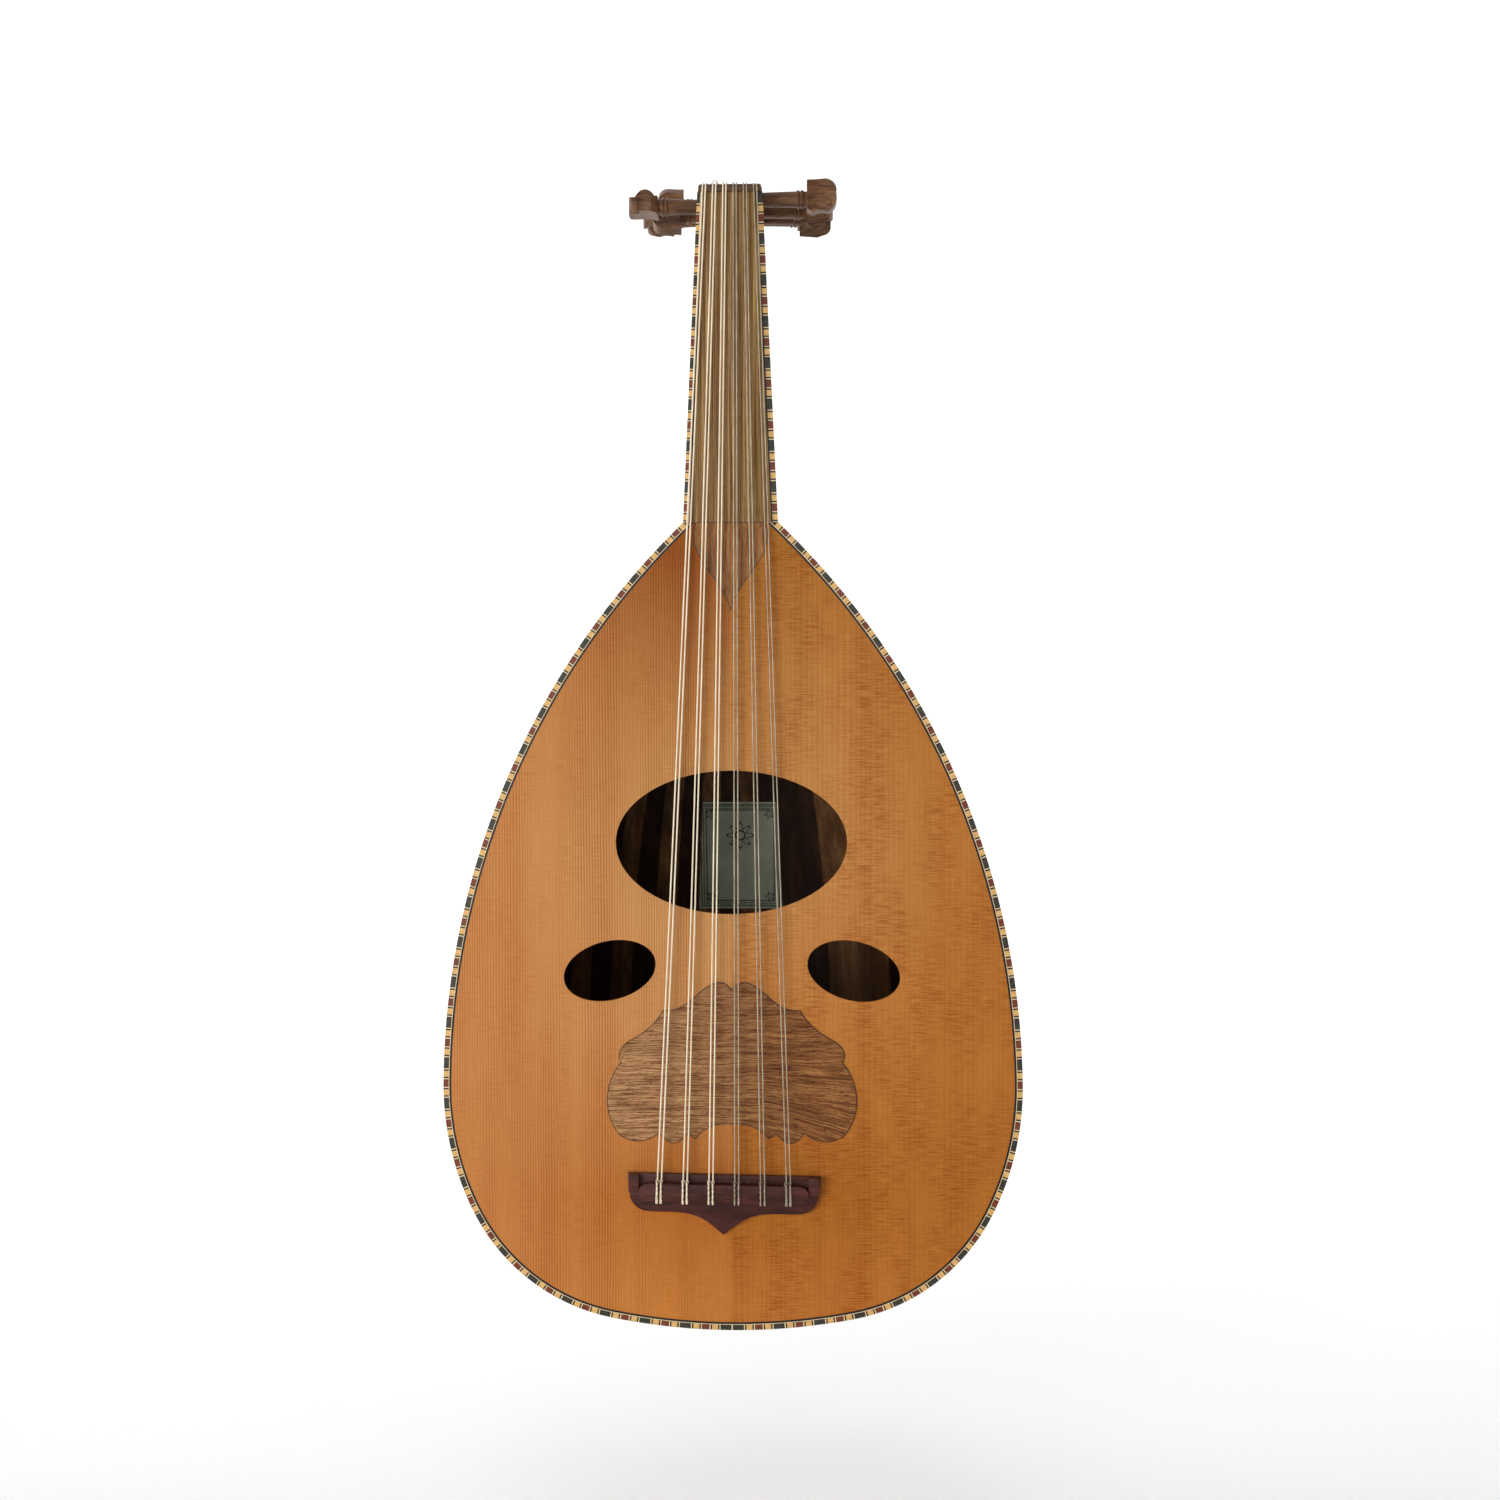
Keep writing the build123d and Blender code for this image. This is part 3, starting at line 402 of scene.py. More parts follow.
def paper_material(name, centre_z, half_width, half_height):
    """Aged paper with an ornamental printed frame and a rosette, and no writing."""
    m = Material(name, roughness=0.8, specular=0.2)
    x, y, z = m.axes()
    across = m.math("ABSOLUTE", x)
    up = m.math("ABSOLUTE", m.math("SUBTRACT", z, centre_z))
    from_side = m.math("SUBTRACT", half_width, across)
    from_top = m.math("SUBTRACT", half_height, up)
    inset = m.math("MINIMUM", from_side, from_top)

    def line(at, width):
        return m.math("LESS_THAN", m.math("ABSOLUTE", m.math("SUBTRACT", inset, at)), width / 2)

    def distance(a, b):
        return m.math("SQRT", m.math("ADD", m.math("MULTIPLY", a, a), m.math("MULTIPLY", b, b)))

    def lobes(around, count, base, reach):
        wave = m.math("COSINE", m.math("MULTIPLY", around, float(count)))
        return m.math("MULTIPLY", m.math("ADD", wave, base), reach)

    waves = m.math("SINE", m.math("MULTIPLY", m.math("ADD", x, z), tau / (3.2 * MM)))
    braid = m.math("SINE", m.math("MULTIPLY", m.math("SUBTRACT", x, z), tau / (3.2 * MM)))
    pattern = m.math("GREATER_THAN", m.math("MULTIPLY", waves, braid), 0.12)
    band = m.math("MULTIPLY", pattern, line(3.6 * MM, 2.4 * MM))
    frames = m.math("MAXIMUM", line(1.9 * MM, 0.6 * MM), line(5.6 * MM, 0.7 * MM))
    ink = m.math("MAXIMUM", frames, band)
    corner_x = m.math("SUBTRACT", from_side, 8.6 * MM)
    corner_z = m.math("SUBTRACT", from_top, 8.6 * MM)
    corner = distance(corner_x, corner_z)
    angle = m.math("ARCTAN2", corner_z, corner_x)
    petals = lobes(angle, 5, 2.0, 0.95 * MM)
    flourish = m.math("LESS_THAN", m.math("ABSOLUTE", m.math("SUBTRACT", corner, petals)), 0.5 * MM)
    rose_z = m.math("SUBTRACT", z, centre_z + 14 * MM)
    radius = distance(x, rose_z)
    rose_angle = m.math("ARCTAN2", rose_z, x)
    edge = lobes(rose_angle, 8, 3.2, 2.1 * MM)
    rose = m.math("LESS_THAN", m.math("ABSOLUTE", m.math("SUBTRACT", radius, edge)), 0.6 * MM)
    ring = m.math("LESS_THAN", m.math("ABSOLUTE", m.math("SUBTRACT", radius, 3.2 * MM)), 0.55 * MM)
    ink = m.math("MAXIMUM", ink, m.math("MAXIMUM", flourish, m.math("MAXIMUM", rose, ring)))
    tone = m.noise(m.scaled((60, 60, 60)), detail=4.0)
    fibre = m.noise(m.scaled((1500, 1500, 1500)), detail=2.0)
    paper = m.mix(m.span(tone, 0.3, 0.7), srgb(182, 187, 164), srgb(156, 161, 138))
    paper = m.mix(m.span(fibre, 0.5, 0.8, 0.0, 0.25), paper, srgb(140, 140, 120))
    m.colour(m.mix(m.math("MULTIPLY", ink, 0.9), paper, srgb(44, 46, 40)))
    m.bump(fibre, 0.00005, 0.4)
    return m.data


def floor_material(name):
    m = Material(name, roughness=0.9, specular=0.1)
    tone = m.noise(m.scaled((3, 3, 3)), detail=2.0)
    m.colour(m.mix(tone, grey(0.93), grey(0.90)))
    return m.data


SLOT_MATERIALS = {
    "light_rib": rib_material("rib_light_wood", srgb(150, 108, 68), srgb(118, 80, 48), srgb(74, 47, 27)),
    "dark_rib": rib_material("rib_dark_wood", srgb(74, 45, 30), srgb(50, 30, 20), srgb(28, 16, 11)),
    # Each half's tones carry painted shade and light down the face, and its edge colour carries painted
    # shade on the flanks, along with the wood's own colour
    "soundboard_left_cedar": soundboard_material(
        "soundboard_left_wood",
        (
            (0.04, srgb(147, 83, 26)),
            (0.25, srgb(185, 133, 77)),
            (0.42, srgb(197, 151, 95)),
            (0.62, srgb(199, 146, 92)),
            (0.84, srgb(177, 106, 35)),
            (0.98, srgb(194, 125, 57)),
        ),
        srgb(196, 132, 74),
        1.62 * MM,
        0.95,
        0.25,
    ),
    "soundboard_right_cedar": soundboard_material(
        "soundboard_right_wood",
        (
            (0.04, srgb(168, 110, 42)),
            (0.25, srgb(186, 130, 70)),
            (0.42, srgb(194, 140, 82)),
            (0.62, srgb(188, 126, 62)),
            (0.84, srgb(167, 101, 27)),
            (0.98, srgb(184, 114, 48)),
        ),
        srgb(180, 114, 44),
        3.1 * MM,
        0.3,
        0.7,
    ),
    "spruce": walnut_material(
        "bar_spruce", "x", srgb(214, 178, 128), srgb(200, 160, 110), srgb(176, 134, 86), 1.0, 0.0, 0.2
    ),
    "block_wood": walnut_material(
        "block_wood", "z", srgb(150, 112, 74), srgb(122, 88, 56), srgb(90, 62, 38), 1.0, 0.01
    ),
    "fingerboard_walnut": fingerboard_material("fingerboard_wood"),
    "inlay_walnut": walnut_material(
        "point_walnut", "z", srgb(170, 119, 64), srgb(143, 94, 46), srgb(98, 59, 27), 1.7, 0.006, 0.6
    ),
    "raqma_walnut": raqma_material("raqma_wood"),
    "neck_walnut": walnut_material(
        "neck_walnut", "z", srgb(116, 84, 56), srgb(92, 64, 42), srgb(62, 42, 28), 0.8, 0.012, 0.5, 0.35
    ),
    "pegbox_walnut": walnut_material(
        "pegbox_walnut", "y", srgb(114, 80, 52), srgb(88, 60, 38), srgb(56, 37, 24), 1.0, 0.012, 0.5, 0.3
    ),
    "nut_wood": walnut_material(
        "nut_wood", "x", srgb(106, 78, 58), srgb(86, 60, 44), srgb(58, 38, 28), 2.0, 0.003, 0.6
    ),
    "rosewood": rosewood_material("bridge_rosewood"),
    "peg_walnut": walnut_material(
        "peg_walnut", "x", srgb(132, 94, 62), srgb(102, 70, 46), srgb(62, 40, 28), 1.6, 0.008, 0.6
    ),
    "wound_gut": wound_string_material("wound_string"),
    "clear_nylon": clear_string_material("clear_string"),
}
MOSAIC = [
    inlay_material("mosaic_ebony", srgb(58, 55, 44), srgb(36, 34, 27)),
    inlay_material("mosaic_bone", srgb(228, 206, 164), srgb(202, 178, 134)),
    inlay_material("mosaic_black", srgb(20, 17, 15), srgb(12, 10, 9)),
    inlay_material("mosaic_maple", srgb(220, 178, 112), srgb(196, 150, 86)),
    inlay_material("mosaic_redwood", srgb(122, 58, 34), srgb(92, 40, 24)),
]
EBONY, BONE, BLACK, MAPLE, REDWOOD = range(5)


# ---------------------------------------------------------------- mesh helpers


def mesh_object(name, bm, materials, smooth_angle=None):
    """An object from a bmesh, with its faces turned outwards."""
    bmesh.ops.recalc_face_normals(bm, faces=bm.faces)
    data = bpy.data.meshes.new(name)
    bm.to_mesh(data)
    bm.free()
    for material in materials:
        data.materials.append(material)
    made = bpy.data.objects.new(name, data)
    bpy.context.scene.collection.objects.link(made)
    if smooth_angle:
        data.shade_smooth()
        data.set_sharp_from_angle(angle=smooth_angle)
    return made


def band(bm, outer, inner, front, back, indices):
    """A closed strip between two lines of (x, z) points, with a material index for each stretch."""
    rows = []
    for (ox, oz), (ix, iz) in zip(outer, inner):
        corners = ((ox, front, oz), (ox, back, oz), (ix, back, iz), (ix, front, iz))
        rows.append([bm.verts.new(corner) for corner in corners])
    for row, following, index in zip(rows, rows[1:], indices):
        for i in range(4):
            j = (i + 1) % 4
            bm.faces.new((row[i], row[j], following[j], following[i])).material_index = index
    bm.faces.new(rows[0]).material_index = indices[0]
    bm.faces.new(reversed(rows[-1])).material_index = indices[-1]


def baked(made):
    """Apply an object's modifiers to its mesh."""
    bpy.context.view_layer.update()
    evaluated = made.evaluated_get(bpy.context.evaluated_depsgraph_get())
    data = bpy.data.meshes.new_from_object(evaluated)
    made.modifiers.clear()
    old = made.data
    made.data = data
    bpy.data.meshes.remove(old)
    return made


def prism(bm, outline, front, back):
    """A closed prism from an outline of (x, z) points."""
    near = [bm.verts.new((x, front, z)) for x, z in outline]
    far = [bm.verts.new((x, back, z)) for x, z in outline]
    count = len(outline)
    for i in range(count):
        j = (i + 1) % count
        bm.faces.new((near[i], near[j], far[j], far[i]))
    bm.faces.new(near)
    bm.faces.new(reversed(far))


def bevelled(made, width):
    """Round an object's edges over."""
    modifier = made.modifiers.new("edges", "BEVEL")
    modifier.width = width
    modifier.segments = 3
    modifier.limit_method = "ANGLE"
    modifier.angle_limit = radians(38)
    baked(made)
    made.data.shade_smooth()
    made.data.set_sharp_from_angle(angle=radians(50))
    return made


def outline_loops(node, level):
    """Closed outlines, as (x, z) points, of a CAD node's flat face at depth y = level."""
    bm = bmesh.new()
    bm.from_mesh(NODES[node].data)
    bmesh.ops.remove_doubles(bm, verts=bm.verts, dist=1e-6)
    near = 2e-5
    flat = {f for f in bm.faces if all(abs(v.co.y - level) < near for v in f.verts)}
    neighbours = {}
    for edge in bm.edges:
        if sum(f in flat for f in edge.link_faces) == 1:
            a, b = edge.verts
            neighbours.setdefault(a, []).append(b)
            neighbours.setdefault(b, []).append(a)
    loops = []
    while neighbours:
        start = next(iter(neighbours))
        loop = [start]
        previous, current = None, start
        while True:
            options = [v for v in neighbours[current] if v is not previous]
            previous, current = current, options[0]
            if current is start:
                break
            loop.append(current)
        for vert in loop:
            del neighbours[vert]
        loops.append([(v.co.x, v.co.z) for v in loop])
    bm.free()
    return sorted(loops, key=len, reverse=True)


def signed_area(points):
    return sum(a[0] * b[1] - b[0] * a[1] for a, b in zip(points, points[1:] + points[:1])) / 2


def moved_in(points, distance):
    """A closed outline moved inwards."""
    turn = 1 if signed_area(points) > 0 else -1
    count = len(points)
    result = []
    for i, point in enumerate(points):
        here = Vector(point)
        before = (here - Vector(points[i - 1])).normalized()
        after = (Vector(points[(i + 1) % count]) - here).normalized()
        middle = before + after
        middle = middle.normalized() if middle.length > 1e-6 else before
        normal = Vector((-middle.y, middle.x)) * turn
        reach = distance / max(0.5, abs(middle.dot(before)))
        result.append(tuple(here + normal * reach))
    return result


def tube(name, points, radius):
    """Mesh data of a round tube along a smooth line near the points."""
    curve = bpy.data.curves.new(name, "CURVE")
    curve.dimensions = "3D"
    curve.bevel_depth = radius
    curve.bevel_resolution = 2
    curve.use_fill_caps = True
    spline = curve.splines.new("NURBS")
    spline.points.add(len(points) - 1)
    for target, point in zip(spline.points, points):
        target.co = (*point, 1)
    spline.order_u = 3
    spline.use_endpoint_u = True
    spline.resolution_u = 3
    holder = bpy.data.objects.new(name, curve)
    bpy.context.scene.collection.objects.link(holder)
    bpy.context.view_layer.update()
    data = bpy.data.meshes.new_from_object(holder.evaluated_get(bpy.context.evaluated_depsgraph_get()))
    bpy.data.objects.remove(holder)
    bpy.data.curves.remove(curve)
    return data


def tubes_object(name, lines, materials):
    """One object from several tubes given as (points, radius)."""
    bm = bmesh.new()
    for points, radius in lines:
        data = tube(name, points, radius)
        bm.from_mesh(data)
        bpy.data.meshes.remove(data)
    return mesh_object(name, bm, materials, smooth_angle=radians(60))


# ---------------------------------------------------------------- carried-over nodes

for subpart in frame["record"]["subparts"]:
    material = SLOT_MATERIALS.get(subpart["material_slot"])
    if material:
        node_data = NODES[subpart["node"]].data
        node_data.materials.clear()
        node_data.materials.append(material)

label_low, label_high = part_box("label")
label_data = NODES["label"].data
label_data.materials.clear()
label_data.materials.append(
    paper_material(
        "label_paper",
        (label_low.z + label_high.z) / 2,
        (label_high.x - label_low.x) / 2,
        (label_high.z - label_low.z) / 2,
    )
)

# ---------------------------------------------------------------- mosaic binding


def body_chain():
    """Each arc of the right half outline, from the joint down: centre, radius, start angle, sweep."""
    x, z, heading = 0.0, 0.0, 0.0
    arcs = []
    for radius, turn in TAIL_ARCS:
        radius *= MM
        centre = (x - radius * sin(heading), z + radius * cos(heading))
        arcs.append((centre, radius, heading, radians(turn)))
        heading += radians(turn)
        x = centre[0] + radius * sin(heading)
        z = centre[1] - radius * cos(heading)
    centre = (x - FLANK_RADIUS * sin(heading), z + FLANK_RADIUS * cos(heading))
    end_heading = pi - asin((NECK_HALF_JOINT - centre[0]) / FLANK_RADIUS)
    arcs.append((centre, FLANK_RADIUS, heading, end_heading - heading))
    rise = JOINT_Z - (centre[1] - FLANK_RADIUS * cos(end_heading))
    return [((cx, cz + rise), radius, start, sweep) for (cx, cz), radius, start, sweep in reversed(arcs)]


BODY_CHAIN = body_chain()
BODY_RUN = sum(radius * sweep for _, radius, _, sweep in BODY_CHAIN)


def body_point(run, inset):
    """(x, z) on the right outline at a run from the joint, moved inwards."""
    for centre, radius, start, sweep in BODY_CHAIN:
        if run <= radius * sweep:
            break
        run -= radius * sweep
    else:
        run = radius * sweep
    heading = start + sweep - run / radius
    reach = radius - inset
    return (centre[0] + reach * sin(heading), centre[1] - reach * cos(heading))


def joint_point(inset):
    """Where an inset line of the outline, run on straight, meets the level of the joint."""
    x, z = body_point(0.0, inset)
    heading = BODY_CHAIN[0][2] + BODY_CHAIN[0][3]
    rise = JOINT_Z - z
    return (x + rise * cos(heading) / sin(heading), JOINT_Z)


PATTERN = (
    (3.55, MAPLE),
    (0.9, BLACK),
    (0.6, BONE),
    (4.65, REDWOOD),
    (0.6, BONE),
    (0.9, BLACK),
    (3.55, MAPLE),
    (0.9, BLACK),
    (0.6, BONE),
    (6.65, EBONY),
    (0.6, BONE),
    (0.9, BLACK),
)


def pattern_cuts(length, first):
    """Stretches of the mosaic up to a length, as (start, end, material), from a step of the pattern."""
    cuts = []
    at = 0.0
    step = first
    while at < length - 1e-6:
        width, index = PATTERN[step % len(PATTERN)]
        end = min(length, at + width * MM)
        cuts.append((at, end, index))
        at = end
        step += 1
    return cuts


def stations(cuts):
    """Runs at which the strip gets a row of points, and the material of each stretch."""
    runs, indices = [0.0], []
    for start, end, index in cuts:
        count = max(1, int((end - start) / CURVE_STEP + 0.999))
        for i in range(1, count + 1):
            runs.append(start + (end - start) * i / count)
            indices.append(index)
    return runs, indices


def both_sides(bm, outer, inner, front, back, indices):
    for side in (1, -1):
        outer_side = [(side * x, z) for x, z in outer]
        inner_side = [(side * x, z) for x, z in inner]
        band(bm, outer_side, inner_side, front, back, indices)


MITRE_STEP = 0  # the pattern starts at the joint with maple
MITRE_INSET = 0.1 * MM  # keeps the two outer corners of the black mitre apart
body_runs, body_indices = stations(pattern_cuts(BODY_RUN, MITRE_STEP))
mosaic = bmesh.new()
both_sides(
    mosaic,
    [body_point(run, 0.0) for run in body_runs],
    [body_point(run, BINDING_WIDTH) for run in body_runs],
    0.0,
    LAYER,
    body_indices,
)
corner_inner = (NECK_HALF_JOINT - BINDING_WIDTH, JOINT_Z)
both_sides(
    mosaic,
    [(NECK_HALF_JOINT, JOINT_Z), body_point(0.0, MITRE_INSET)],
    [corner_inner, body_point(0.0, BINDING_WIDTH)],
    0.0,
    LAYER,
    [BLACK],
)
body_mosaic = mesh_object("body_mosaic", mosaic, MOSAIC)
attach(body_mosaic, BODY)
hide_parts("body_binding")

PURFLING_PROUD = 0.08 * MM
BONE_LINE = 0.35 * MM
BLACK_LINE = 1.2 * MM
BODY_LINE_STEPS = 260


def body_line(name, inset, width, index):
    """A line let into the soundboard beside the mosaic."""
    runs = [BODY_RUN * i / BODY_LINE_STEPS for i in range(BODY_LINE_STEPS + 1)]
    bm = bmesh.new()
    both_sides(
        bm,
        [joint_point(inset)] + [body_point(run, inset) for run in runs],
        [joint_point(inset + width)] + [body_point(run, inset + width) for run in runs],
        -PURFLING_PROUD,
        LAYER / 2,
        [0] * len(runs),
    )
    made = mesh_object(name, bm, [MOSAIC[index]])
    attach(made, BODY)


body_line("body_bone_line", BINDING_WIDTH, BONE_LINE, BONE)
body_line("body_black_line", BINDING_WIDTH + BONE_LINE, BLACK_LINE, BLACK)


def neck_edge(run, inset, side):
    """(x, z) beside the neck's edge, at a run down from the nut."""
    share = run / -JOINT_Z
    return (side * (NECK_HALF_NUT + share * (NECK_HALF_JOINT - NECK_HALF_NUT) - inset), -run)


def neck_band(bm, side, start_nut, start_joint, width_nut, width_joint, front, cuts):
    runs, indices = stations(cuts)
    outer, inner = [], []
    for run in runs:
        share = run / -JOINT_Z
        start = start_nut + share * (start_joint - start_nut)
        width = width_nut + share * (width_joint - width_nut)
        outer.append(neck_edge(run, start, side))
        inner.append(neck_edge(run, start + width, side))
    band(bm, outer, inner, front, LAYER, indices)


NUT_STEP = 9  # the pattern starts under the nut with its dark block
NECK_RUN = -JOINT_Z
LEFT_WIDTH_NUT = 1.9 * MM
RIGHT_WIDTH_NUT = 3.5 * MM
NECK_BLACK_LINE = 0.8 * MM
RIGHT_BLACK_NUT = 0.7 * MM  # the right one is thinner at the nut
neck_mosaic_mesh = bmesh.new()
neck_cuts = pattern_cuts(NECK_RUN, NUT_STEP)
neck_band(neck_mosaic_mesh, -1, 0.0, 0.0, LEFT_WIDTH_NUT, BINDING_WIDTH, 0.0, neck_cuts)
neck_band(neck_mosaic_mesh, 1, 0.0, 0.0, RIGHT_WIDTH_NUT, BINDING_WIDTH, 0.0, neck_cuts)
neck_mosaic = mesh_object("neck_mosaic", neck_mosaic_mesh, MOSAIC)
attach(neck_mosaic, BODY)
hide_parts("neck_binding")

neck_line_mesh = bmesh.new()
whole = [(0.0, NECK_RUN, 0)]
neck_band(
    neck_line_mesh, -1, LEFT_WIDTH_NUT, BINDING_WIDTH, BONE_LINE, BONE_LINE, -PURFLING_PROUD, whole
)
neck_bone_line = mesh_object("neck_bone_line", neck_line_mesh, [MOSAIC[BONE]])
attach(neck_bone_line, BODY)
neck_line_mesh = bmesh.new()
neck_band(
    neck_line_mesh,
    -1,
    LEFT_WIDTH_NUT + BONE_LINE,
    BINDING_WIDTH + BONE_LINE,
    NECK_BLACK_LINE,
    NECK_BLACK_LINE,
    -PURFLING_PROUD,
    whole,
)
neck_band(
    neck_line_mesh,
    1,
    RIGHT_WIDTH_NUT,
    BINDING_WIDTH,
    RIGHT_BLACK_NUT,
    NECK_BLACK_LINE,
    -PURFLING_PROUD,
    whole,
)
neck_black_line = mesh_object("neck_black_line", neck_line_mesh, [MOSAIC[BLACK]])
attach(neck_black_line, BODY)

# ---------------------------------------------------------------- outlines of the inlays


def outline_line(name, node, width, proud):
    """A thin dark line round the front face of a CAD node, just inside its edge."""
    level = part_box(node)[0].y
    bm = bmesh.new()
    for loop in outline_loops(node, level):
        inner = moved_in(loop, width)
        count = len(loop)
        rows = []
        for (ox, oz), (ix, iz) in zip(loop, inner):
            near, far = level - proud, level + proud
            corners = ((ox, near, oz), (ox, far, oz), (ix, far, iz), (ix, near, iz))
            rows.append([bm.verts.new(corner) for corner in corners])
        for n in range(count):
            row, following = rows[n], rows[(n + 1) % count]
            for i in range(4):
                j = (i + 1) % 4
                bm.faces.new((row[i], row[j], following[j], following[i]))
    made = mesh_object(name, bm, [MOSAIC[BLACK]])
    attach(made, BODY)


OUTLINE_PROUD = 0.04 * MM
outline_line("raqma_outline", "raqma", 0.42 * MM, OUTLINE_PROUD)
outline_line("point_outline", "fingerboard_point", 0.35 * MM, OUTLINE_PROUD)

# ---------------------------------------------------------------- bridge

BRIDGE_TILT = radians(0.95)
BRIDGE_LOW, BRIDGE_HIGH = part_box("bridge")
BRIDGE_X = (BRIDGE_LOW.x + BRIDGE_HIGH.x) / 2
BRIDGE_HALF_WIDTH = (BRIDGE_HIGH.x - BRIDGE_LOW.x) / 2 / cos(BRIDGE_TILT)
BRIDGE_FRONT = BRIDGE_HIGH.z - BRIDGE_HALF_WIDTH * sin(BRIDGE_TILT)
APRON_HEIGHT = 3.2 * MM
RECESS_DEPTH = 4.6 * MM
BAR_LENGTH, BAR_WIDTH = 100.5 * MM, 10.2 * MM
BAR_HEIGHT = -BRIDGE_LOW.y
END_BLOCK_EDGES = (0.9 * MM, 7.1 * MM)  # from the bridge's end
END_BLOCK_FRONT = 0.1 * MM  # from the bridge's front edge, as is the next
END_BLOCK_REAR = 10.5 * MM
END_BLOCK_CORNER = 1.2 * MM
END_BLOCK_HEIGHT = 7.0 * MM
BRIDGE_BEVEL = 0.4 * MM
BAR_END_STEPS = 14
CORNER_STEPS = 5


def tilted(outline):
    """An outline of (x, z) points turned with the bridge about the middle of its front edge."""
    result = []
    for x, z in outline:
        u, v = x - BRIDGE_X, z - BRIDGE_FRONT
        result.append(
            (
                BRIDGE_X + u * cos(BRIDGE_TILT) + v * sin(BRIDGE_TILT),
                BRIDGE_FRONT - u * sin(BRIDGE_TILT) + v * cos(BRIDGE_TILT),
            )
        )
    return result


def bar_front(x):
    """z of the tie bar's front face at x."""
    return BRIDGE_FRONT - RECESS_DEPTH - (x - BRIDGE_X) * tan(BRIDGE_TILT)


def slot_outline(centre_x, centre_z, length, width):
    """A round-ended bar lying across the face."""
    points = []
    for side in (1, -1):
        for i in range(BAR_END_STEPS + 1):
            angle = -pi / 2 + pi * i / BAR_END_STEPS
            x = side * (length - width) / 2 + side * cos(angle) * width / 2
            z = side * sin(angle) * width / 2
            points.append((centre_x + x, centre_z + z))
    return points


def rounded_block(low_x, high_x, low_z, high_z, radius):
    """A rectangle with round corners."""
    points = []
    for cx, cz, start in (
        (high_x - radius, high_z - radius, 0),
        (low_x + radius, high_z - radius, pi / 2),
        (low_x + radius, low_z + radius, pi),
        (high_x - radius, low_z + radius, 3 * pi / 2),
    ):
        for i in range(CORNER_STEPS + 1):
            angle = start + pi / 2 * i / CORNER_STEPS
            points.append((cx + radius * cos(angle), cz + radius * sin(angle)))
    return points


bridge_mesh = bmesh.new()
prism(bridge_mesh, outline_loops("bridge", 0.0)[0], -APRON_HEIGHT, 0.0)
bar_outline = slot_outline(BRIDGE_X, bar_front(BRIDGE_X) - BAR_WIDTH / 2, BAR_LENGTH, BAR_WIDTH)
prism(bridge_mesh, tilted(bar_outline), -BAR_HEIGHT, -APRON_HEIGHT / 2)
for side in (-1, 1):
    edges = sorted(BRIDGE_X + side * (BRIDGE_HALF_WIDTH - inset) for inset in END_BLOCK_EDGES)
    levels = (BRIDGE_FRONT - END_BLOCK_REAR, BRIDGE_FRONT - END_BLOCK_FRONT)
    block = rounded_block(*edges, *levels, END_BLOCK_CORNER)
    prism(bridge_mesh, tilted(block), -END_BLOCK_HEIGHT, -APRON_HEIGHT / 2)
bridge = mesh_object("bridge_carved", bridge_mesh, [SLOT_MATERIALS["rosewood"]])
bevelled(bridge, BRIDGE_BEVEL)
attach(bridge, BODY)
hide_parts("bridge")

# ---------------------------------------------------------------- strings tied to the bridge

STRING_COUNT = 12
STRING_LEVEL_BRIDGE = -6.4 * MM
THICKEST_STRING = 1.0  # diameter in mm
COURSE_THINNING = 0.05  # from one course to the next, in mm


def string_x(index, z):
    """x of a string's axis at height z, on its straight run from the nut to the bridge."""
    node = NODES[f"string_{index + 1:02d}"]
    high = max((v.co for v in node.data.vertices if v.co.y < 0 and v.co.z > -2 * MM), key=lambda co: co.z)
    low = min((v.co for v in node.data.vertices), key=lambda co: co.z)
    share = (z - low.z) / (high.z - low.z)
    return low.x + share * (high.x - low.x)


def spline_point(points, share):
    """A point on a smooth line through the points."""
    spans = len(points) - 1
    at = min(share * spans, spans - 1e-6)
    i = int(at)
    t = at - i
    p0 = points[max(i - 1, 0)]
    p1, p2 = points[i], points[i + 1]
    p3 = points[min(i + 2, spans)]
    square = (2 * p0 - 5 * p1 + 4 * p2 - p3) * t**2
    cube = (3 * p1 - p0 - 3 * p2 + p3) * t**3
    return 0.5 * (2 * p1 + (p2 - p0) * t + square + cube)


def twisted(points, reach, turns, phase, steps):
    """A line winding round a smooth line through the points."""
    result = []
    for i in range(steps + 1):
        share = i / steps
        centre = spline_point(points, share)
        after = spline_point(points, min(1.0, share + 0.01))
        before = spline_point(points, max(0.0, share - 0.01))
        ahead = (after - before).normalized()
        sideways = Vector((1, 0, 0))
        upwards = ahead.cross(sideways).normalized()
        angle = phase + tau * turns * share
        result.append(centre + reach * (cos(angle) * sideways + sin(angle) * upwards))
    return result


TIE_GAP = 0.9 * MM  # from the bar's faces to the axis of the loop round it
TIE_SHARE = 0.8  # thickness of that loop, as a share of the string's
TIE_TURNS = 7.0
TIE_STEPS = 110
TIE_CORNER = 0.25 * MM
WOUND_STRAND = 0.2 * MM  # radii
CLEAR_STRAND = 0.17 * MM
RING_HALF_WIDTH = 0.85 * MM
RING_HALF_HEIGHT = 1.1 * MM
RING_RISE = 0.5 * MM
RING_STEPS = 16
KNOT_PLACES = (1.9 * MM, 1.4 * MM, 0.9 * MM)  # in front of the loop's rear


def string_diameter(index):
    return (THICKEST_STRING - COURSE_THINNING * (index // 2)) * MM


def string_material(index):
    return "wound_gut" if index < STRING_COUNT // 2 else "clear_nylon"


